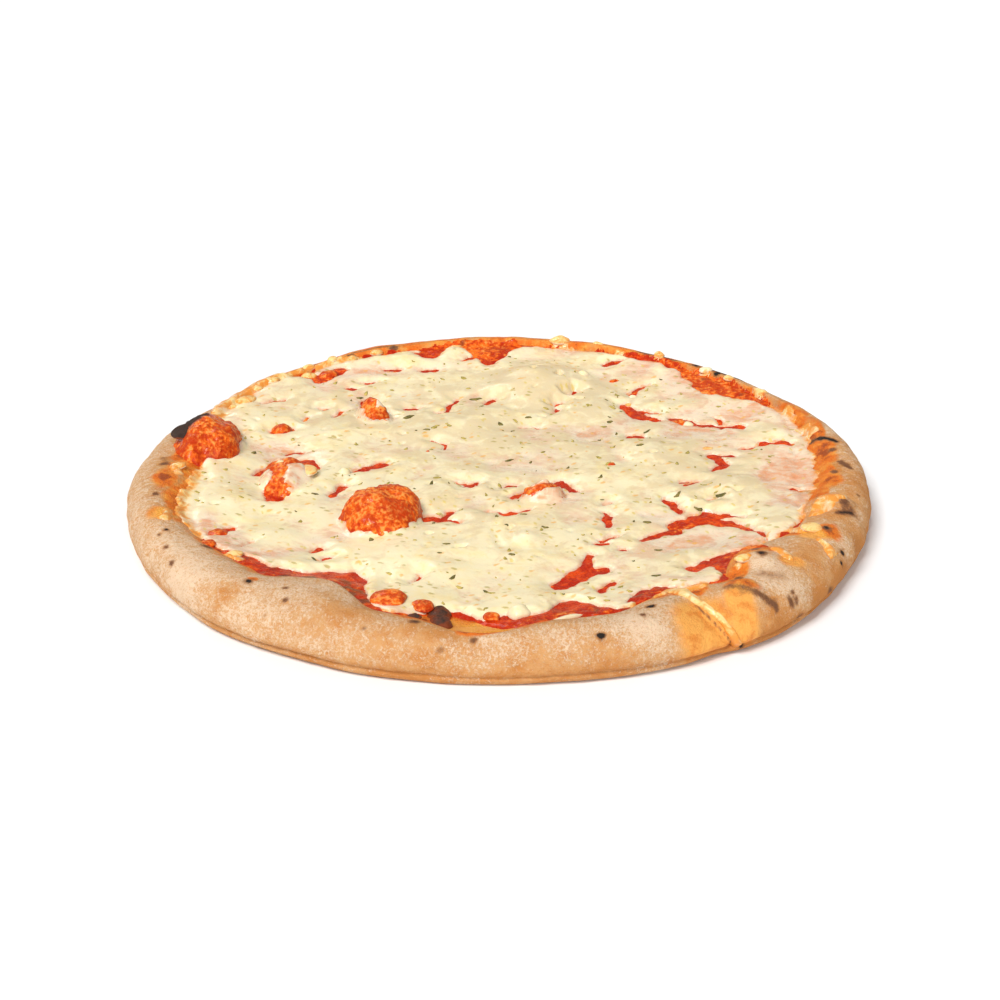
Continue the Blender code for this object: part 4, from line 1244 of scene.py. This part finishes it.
class PIZZA_OT_add_bubbles(bpy.types.Operator):
    """Raise the bubbles of dough, coated with roasted sauce"""

    bl_idname = "pizza.add_bubbles"
    bl_label = "Add Bubbles"

    def execute(self, context):
        settings = context.scene.pizza_sauce
        parts, balls = [], []
        for bubble in BUBBLES:
            ball = ball_of(144, 72)
            unit = places_of(ball)
            places = bubble_shell(unit, bubble)
            set_places(ball, places)
            parts.append((unit, places))
            balls.append(ball)
        shells = joined_pieces(balls)
        unit = np.vstack([part[0] for part in parts])
        places = np.vstack([part[1] for part in parts])
        x, y, height = places.T
        roast = 0.45 + 0.5 * unit[:, 2] + 0.2 * lumps(x, y, 12 * MM, 35, height)
        burnt = near_places(x, y, BURNT_SIDE) + 0.25 * lumps(x, y, 5 * MM, 36, height)
        tip = near_places(x, y, BROWN_TIP) * eased(height, 13 * MM, 15 * MM)
        brown = np.maximum(eased(burnt, 0.1, 0.6), 0.9 * tip)
        set_attributes(shells, roast=roast, char=burnt, brown=brown)
        finish_piece(shells, "sauced_bubbles", sauce_material(settings), "sauce")
        return {"FINISHED"}


class PIZZA_OT_add_cheese(bpy.types.Operator):
    """Lay the sheet of melted cheese over the sauce"""

    bl_idname = "pizza.add_cheese"
    bl_label = "Add Cheese"

    def execute(self, context):
        settings = context.scene.pizza_cheese
        cheese = sheet_grid(settings.cell, DIAMETER / 2)
        x, y, _ = places_of(cheese).T
        thick, film = cheese_layer(x, y)
        height, drawn = cheese_height(x, y, thick)
        keep = (thick > -0.9 * MM) & (np.hypot(x, y) < DIAMETER / 2 - OUTLINE_MARGIN)
        set_places(cheese, np.stack([x, y, height], axis=1))
        film = np.maximum(film, drawn * (0.8 + 0.7 * lumps(x, y, 3 * MM, 57)))
        baked = eased(beyond_edge(x, y), -5 * MM, 1 * MM) * (0.95 + 0.5 * lumps(x, y, 5 * MM, 58))
        gold = np.maximum(baked, 0.9 * drawn * lumps(x, y, 5 * MM, 59))
        # The places of painted shade are stored on the cheese for its material
        set_attributes(cheese, film=film, gold=gold, dull=near_places(x, y, PAINTED_SHADE_PLACES))
        keep_vertices(cheese, keep)
        close_underneath(cheese, CHEESE_UNDERSIDE)
        finish_piece(cheese, "cheese_sheet", cheese_material(settings), "cheese", "melted_cheese")
        return {"FINISHED"}


class PIZZA_OT_add_lumps(bpy.types.Operator):
    """Add the burnt blisters, bits of tomato and beads of cheese"""

    bl_idname = "pizza.add_lumps"
    bl_label = "Add Lumps"

    def execute(self, context):
        materials = {
            "sauce": sauce_material(context.scene.pizza_sauce),
            "cheese": cheese_material(context.scene.pizza_cheese),
        }
        for kind, (name, slot, golden) in LUMP_KINDS.items():
            piece = self.add(kind, golden)
            finish_piece(piece, name, materials[slot], slot)
        return {"FINISHED"}

    def add(self, kind, golden):
        """Add every lump of one kind as one piece."""
        balls, rises = [], []
        for number, (x, y, width, depth, rise, turn, its_kind) in enumerate(LUMPS):
            if its_kind != kind:
                continue
            x, y = (float(value[0]) / MM for value in settled(x * MM, y * MM))
            ball = ball_of(40, 20)
            unit = places_of(ball)
            up = unit[:, 2]
            shape = unit * (1 + 0.16 * lumps(*unit[:, :2].T, 0.9, 70 + number, up))[:, None]
            shape += unit * 0.04 * lumps(*unit[:, :2].T, 0.35, 120 + number, up)[:, None]
            across, along = turned(shape[:, 0] * width / 2, shape[:, 1] * depth / 2, turn)
            height = shape[:, 2] * np.where(up > 0, rise, 1.2)
            places = np.stack([x + across, y + along, height], axis=1) * MM
            places[:, 2] += self.ground(x * MM, y * MM)
            set_places(ball, places)
            balls.append(ball)
            rises.append(up)
        piece = joined_pieces(balls)
        up = np.concatenate(rises)
        fine = up + 0.25 * lumps(*(places_of(piece).T[:2]), 2 * MM, 69)
        if kind == "burnt":
            char, brown = 0.52 * eased(fine, 0.3, 0.8), 1.2 * eased(fine, 0, 0.4)
            set_attributes(piece, char=char, brown=brown)
        if kind == "charred":
            set_attributes(piece, char=eased(fine, -0.1, 0.15), brown=1)
        set_attributes(piece, roast=0.5 + 0.5 * up, film=0.75 - 0.7 * eased(up, 0.1, 0.7),
                       gold=golden * eased(fine, -0.5, 0.5))
        return piece

    def ground(self, x, y):
        """Height of whatever lies on top at a place."""
        x, y = np.array([x]), np.array([y])
        thick, _ = cheese_layer(x, y)
        top = max(float(dough_height(x, y)[0]), float(sauce_height(x, y)[0]))
        return max(top, float(cheese_height(x, y, thick)[0][0])) - 0.4 * MM


class PIZZA_OT_add_drip(bpy.types.Operator):
    """Run a strip of melted cheese down over the crust"""

    bl_idname = "pizza.add_drip"
    bl_label = "Add Drip"

    def execute(self, context):
        settings = context.scene.pizza_cheese
        rings = crust_profile()
        drip = ball_of(64, 96)
        unit = places_of(drip)
        down = 0.5 - 0.5 * unit[:, 2]
        stops = np.linspace(0, 1, len(DRIP))
        ring, middle, half = (np.interp(down, stops, [stop[n] for stop in DRIP]) for n in range(3))
        ends = np.sqrt(np.clip(1 - unit[:, 2] ** 2, 0, 1))
        sides = np.where(ends > 0.001, unit[:, 0] / np.maximum(ends, 0.001), 0)
        out = np.where(ends > 0.001, unit[:, 1] / np.maximum(ends, 0.001), 0)
        closing = np.clip(ends / 0.35, 0, 1)
        middle += 0.25 * lumps(12 * down, 0 * down, 2.0, 81)
        half *= 1 + 0.25 * lumps(14 * down, sides, 1.6, 82)
        angle = np.radians(middle + sides * half * closing)
        base = crust_places(rings, ring, angle)
        ahead = crust_places(rings, ring + 0.5, angle) - base
        beside = crust_places(rings, ring, angle + 0.002) - base
        normal = np.cross(beside, ahead)
        normal /= np.maximum(np.linalg.norm(normal, axis=1), 1e-12)[:, None]
        thick = (1.2 - 0.3 * down + 0.3 * lumps(20 * down, 2 * sides, 1.5, 83)) * MM
        lift = np.where(out > 0, out * thick, out * 0.8 * MM) * closing
        set_places(drip, base + normal * lift[:, None])
        close_seam(drip)
        x, y, height = places_of(drip).T
        low = 1 - eased(height, 8 * MM, 20 * MM)
        gold = 0.6 + 1.3 * low + 0.3 * lumps(x, y, 5 * MM, 84, height)
        set_attributes(drip, gold=gold, film=0.25)
        finish_piece(drip, "cheese_drip", cheese_material(settings), "cheese")
        return {"FINISHED"}


class PIZZA_OT_add_herbs(bpy.types.Operator):
    """Scatter dried herb flakes over the cheese"""

    bl_idname = "pizza.add_herbs"
    bl_label = "Add Herbs"

    def execute(self, context):
        settings = context.scene.pizza_herbs
        self.scatter("herb_flakes_dark", 11, settings.dark_count, DARK_HERBS, BIG_HERBS)
        self.scatter("herb_flakes_olive", 12, settings.olive_count, OLIVE_HERBS, ())
        return {"FINISHED"}

    def scatter(self, name, seed, count, colours, placed):
        """Copy one flake over the cheese, each copy with its own size and turn."""
        flake = ball_of(8, 4)
        shape = places_of(flake)
        faces = [tuple(face.vertices) for face in flake.data.polygons]
        bpy.data.objects.remove(flake)
        rng = np.random.default_rng(seed)
        radius = HERB_REACH * np.sqrt(rng.random(2 * count))
        angle = 2 * math.pi * rng.random(2 * count)
        middles = np.stack([radius * np.cos(angle), radius * np.sin(angle)], axis=1)
        middles = middles[cheese_layer(*middles.T)[0] > 0.9 * MM][:count]
        leaves = [
            (*(float(value[0]) for value in settled(x * MM, y * MM)), long * MM, turn)
            for x, y, long, turn in placed
        ]
        for middle in middles:
            long = (0.55 + 1.2 * rng.random() ** 2) * MM
            leaves.append((*middle, long, 180 * rng.random()))
        places, polygons = [], []
        for x, y, long, turn in leaves:
            wide = long * (0.28 + 0.4 * rng.random())
            copy = shape * (long, wide, HERB_THICKNESS)
            bend = np.arctan2(shape[:, 1], shape[:, 0])
            copy[:, :2] *= 1 + 0.22 * np.sin(3 * bend + math.radians(turn))[:, None]
            copy[:, 1] += 0.25 * long * rng.normal() * (shape[:, 0] ** 2 - 0.3)
            across, along = turned(copy[:, 0], copy[:, 1], turn)
            start = len(places) * len(shape)
            polygons += [tuple(start + corner for corner in face) for face in faces]
            places.append(np.stack([x + across, y + along, copy[:, 2] + 0.05 * MM], axis=1))
        places = np.vstack(places)
        thick, _ = cheese_layer(*places.T[:2])
        places[:, 2] += cheese_height(*places.T[:2], thick)[0]
        mesh = bpy.data.meshes.new(name)
        mesh.from_pydata(places.tolist(), [], polygons)
        obj = bpy.data.objects.new(name, mesh)
        bpy.context.scene.collection.objects.link(obj)
        finish_piece(obj, name, herb_material(name, *colours), "cheese")


class PIZZA_OT_add_stage(bpy.types.Operator):
    """Set the pale floor, the soft studio light and the camera"""

    bl_idname = "pizza.add_stage"
    bl_label = "Add Stage"

    def execute(self, context):
        settings = context.scene.pizza_stage
        deselect()
        bpy.ops.mesh.primitive_plane_add(size=80)
        floor = context.object
        floor.name = "floor"
        make = Maker("pale_floor")
        make.finish({"Base Color": (0.93, 0.93, 0.93, 1), "Roughness": 0.9}, {})
        floor.data.materials.append(make.material)
        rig.stage(floor)
        world = bpy.data.worlds.new("studio")
        world.use_nodes = True
        background = world.node_tree.nodes["Background"]
        background.inputs["Color"].default_value = (1, 1, 1, 1)
        background.inputs["Strength"].default_value = settings.fill
        context.scene.world = world
        for name, place, spread, share in LAMPS:
            self.lamp(name, place, spread, settings.key * share)
        camera = bpy.data.objects.new("camera", bpy.data.cameras.new("camera"))
        context.scene.collection.objects.link(camera)
        rise = settings.elevation
        away = Vector((0, -math.cos(rise), math.sin(rise)))
        camera.location = Vector(CAMERA_AIM) + settings.distance * away
        camera.rotation_euler = (0.5 * math.pi - rise, 0, 0)
        camera.data.sensor_width = 36
        camera.data.lens = CAMERA_LENS
        context.scene.camera = camera
        context.scene.view_settings.view_transform = "Standard"
        return {"FINISHED"}

    def lamp(self, name, place, spread, power):
        """Add one wide soft light that shines from a side on the pizza."""
        data = bpy.data.lights.new(name, "SUN")
        data.energy = power
        data.angle = math.radians(spread)
        lamp = bpy.data.objects.new(name, data)
        lamp.location = place
        lamp.rotation_euler = (-Vector(place)).to_track_quat("-Z", "Y").to_euler()
        bpy.context.scene.collection.objects.link(lamp)


# ------------------------------------------------------------------ settings and panel

def colour_setting(name, description, default):
    """A colour that a user can change."""
    return bpy.props.FloatVectorProperty(
        name=name, description=description, default=default,
        subtype="COLOR", size=3, min=0, max=1,
    )


def cell_setting(default):
    """How fine a sheet's grid is."""
    return bpy.props.FloatProperty(
        name="Cell", description="Fineness of the sheet", default=default, unit="LENGTH"
    )


def count_setting(name, description, default):
    """How many of a thing there are."""
    return bpy.props.IntProperty(name=name, description=description, default=default, min=0)


class PizzaDough(bpy.types.PropertyGroup):
    """Settings of the dough"""

    steps_round: bpy.props.IntProperty(
        name="Steps Round", description="Fineness of the rim", default=900, min=90, max=960
    )
    flour: colour_setting("Flour", "Flour on the crust", (0.78, 0.56, 0.37))
    tan: colour_setting("Tan", "Lightly baked dough", (0.64, 0.325, 0.125))
    golden: colour_setting("Golden", "Well baked dough", (0.56, 0.225, 0.06))


class PizzaSauce(bpy.types.PropertyGroup):
    """Settings of the sauce"""

    cell: cell_setting(0.95 * MM)
    deep: colour_setting("Deep", "Sauce in hollows", (0.45, 0.020, 0.004))
    red: colour_setting("Red", "Fresh sauce", (0.74, 0.065, 0.006))
    roasted: colour_setting("Roasted", "Sauce roasted on the bubbles", (0.93, 0.175, 0.013))


class PizzaCheese(bpy.types.PropertyGroup):
    """Settings of the cheese"""

    cell: cell_setting(0.8 * MM)
    cream: colour_setting("Cream", "Thick cheese", (0.90, 0.77, 0.49))
    butter: colour_setting("Butter", "Cheese with more fat", (0.90, 0.72, 0.36))
    rosy: colour_setting("Rosy", "Thin cheese over sauce", (0.77, 0.48, 0.31))
    sheer: colour_setting("Sheer", "Film of cheese on sauce", (0.76, 0.27, 0.10))


class PizzaHerbs(bpy.types.PropertyGroup):
    """Settings of the herbs"""

    dark_count: count_setting("Dark Flakes", "Number of dark flakes", 45)
    olive_count: count_setting("Olive Flakes", "Number of olive flakes", 210)


class PizzaStage(bpy.types.PropertyGroup):
    """Settings of the light and the camera"""

    fill: bpy.props.FloatProperty(name="Fill", description="Light from all round", default=0.22)
    key: bpy.props.FloatProperty(name="Key", description="Main light", default=2.9)
    elevation: bpy.props.FloatProperty(
        name="Elevation", description="Camera's angle above the table",
        default=math.radians(25.92), unit="ROTATION",
    )
    distance: bpy.props.FloatProperty(
        name="Distance", description="Camera's distance", default=0.8, unit="LENGTH"
    )


class VIEW3D_PT_pizza(bpy.types.Panel):
    """Lists the steps that build the pizza"""

    bl_label = "Margherita Pizza"
    bl_space_type = "VIEW_3D"
    bl_region_type = "UI"
    bl_category = "Pizza"

    def draw(self, context):
        for group, operator in STEPS:
            settings = group and getattr(context.scene, group)
            for name in settings.bl_rna.properties.keys() if group else ():
                if name not in {"rna_type", "name"}:
                    self.layout.prop(settings, name)
            self.layout.operator(operator)


STEPS = (
    ("pizza_dough", "pizza.add_crust"),
    ("pizza_sauce", "pizza.add_sauce"),
    (None, "pizza.add_bubbles"),
    ("pizza_cheese", "pizza.add_cheese"),
    (None, "pizza.add_lumps"),
    (None, "pizza.add_drip"),
    ("pizza_herbs", "pizza.add_herbs"),
    ("pizza_stage", "pizza.add_stage"),
)
GROUPS = (
    ("pizza_dough", PizzaDough), ("pizza_sauce", PizzaSauce), ("pizza_cheese", PizzaCheese),
    ("pizza_herbs", PizzaHerbs), ("pizza_stage", PizzaStage),
)
CLASSES = (
    PizzaDough, PizzaSauce, PizzaCheese, PizzaHerbs, PizzaStage, PIZZA_OT_add_crust,
    PIZZA_OT_add_sauce, PIZZA_OT_add_bubbles, PIZZA_OT_add_cheese, PIZZA_OT_add_lumps,
    PIZZA_OT_add_drip, PIZZA_OT_add_herbs, PIZZA_OT_add_stage, VIEW3D_PT_pizza,
)


def register():
    """Add the settings, operators and panel."""
    for item in CLASSES:
        bpy.utils.register_class(item)
    for name, group in GROUPS:
        setattr(bpy.types.Scene, name, bpy.props.PointerProperty(type=group))


def unregister():
    """Take them away again."""
    for name, group in GROUPS:
        delattr(bpy.types.Scene, name)
    for item in reversed(CLASSES):
        bpy.utils.unregister_class(item)


def main():
    """Build the pizza and its stage, and note the sizes."""
    register()
    bpy.ops.pizza.add_crust()
    bpy.ops.pizza.add_sauce()
    bpy.ops.pizza.add_bubbles()
    bpy.ops.pizza.add_cheese()
    bpy.ops.pizza.add_lumps()
    bpy.ops.pizza.add_drip()
    bpy.ops.pizza.add_herbs()
    bpy.ops.pizza.add_stage()
    sizes = {
        "cad": [list(corner) for corner in FRAME_BOX],
        "visual": [list(corner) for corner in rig.bounds()],
    }
    with open("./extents.json", "w") as file:
        json.dump(sizes, file)


if __name__ == "__main__":
    main()
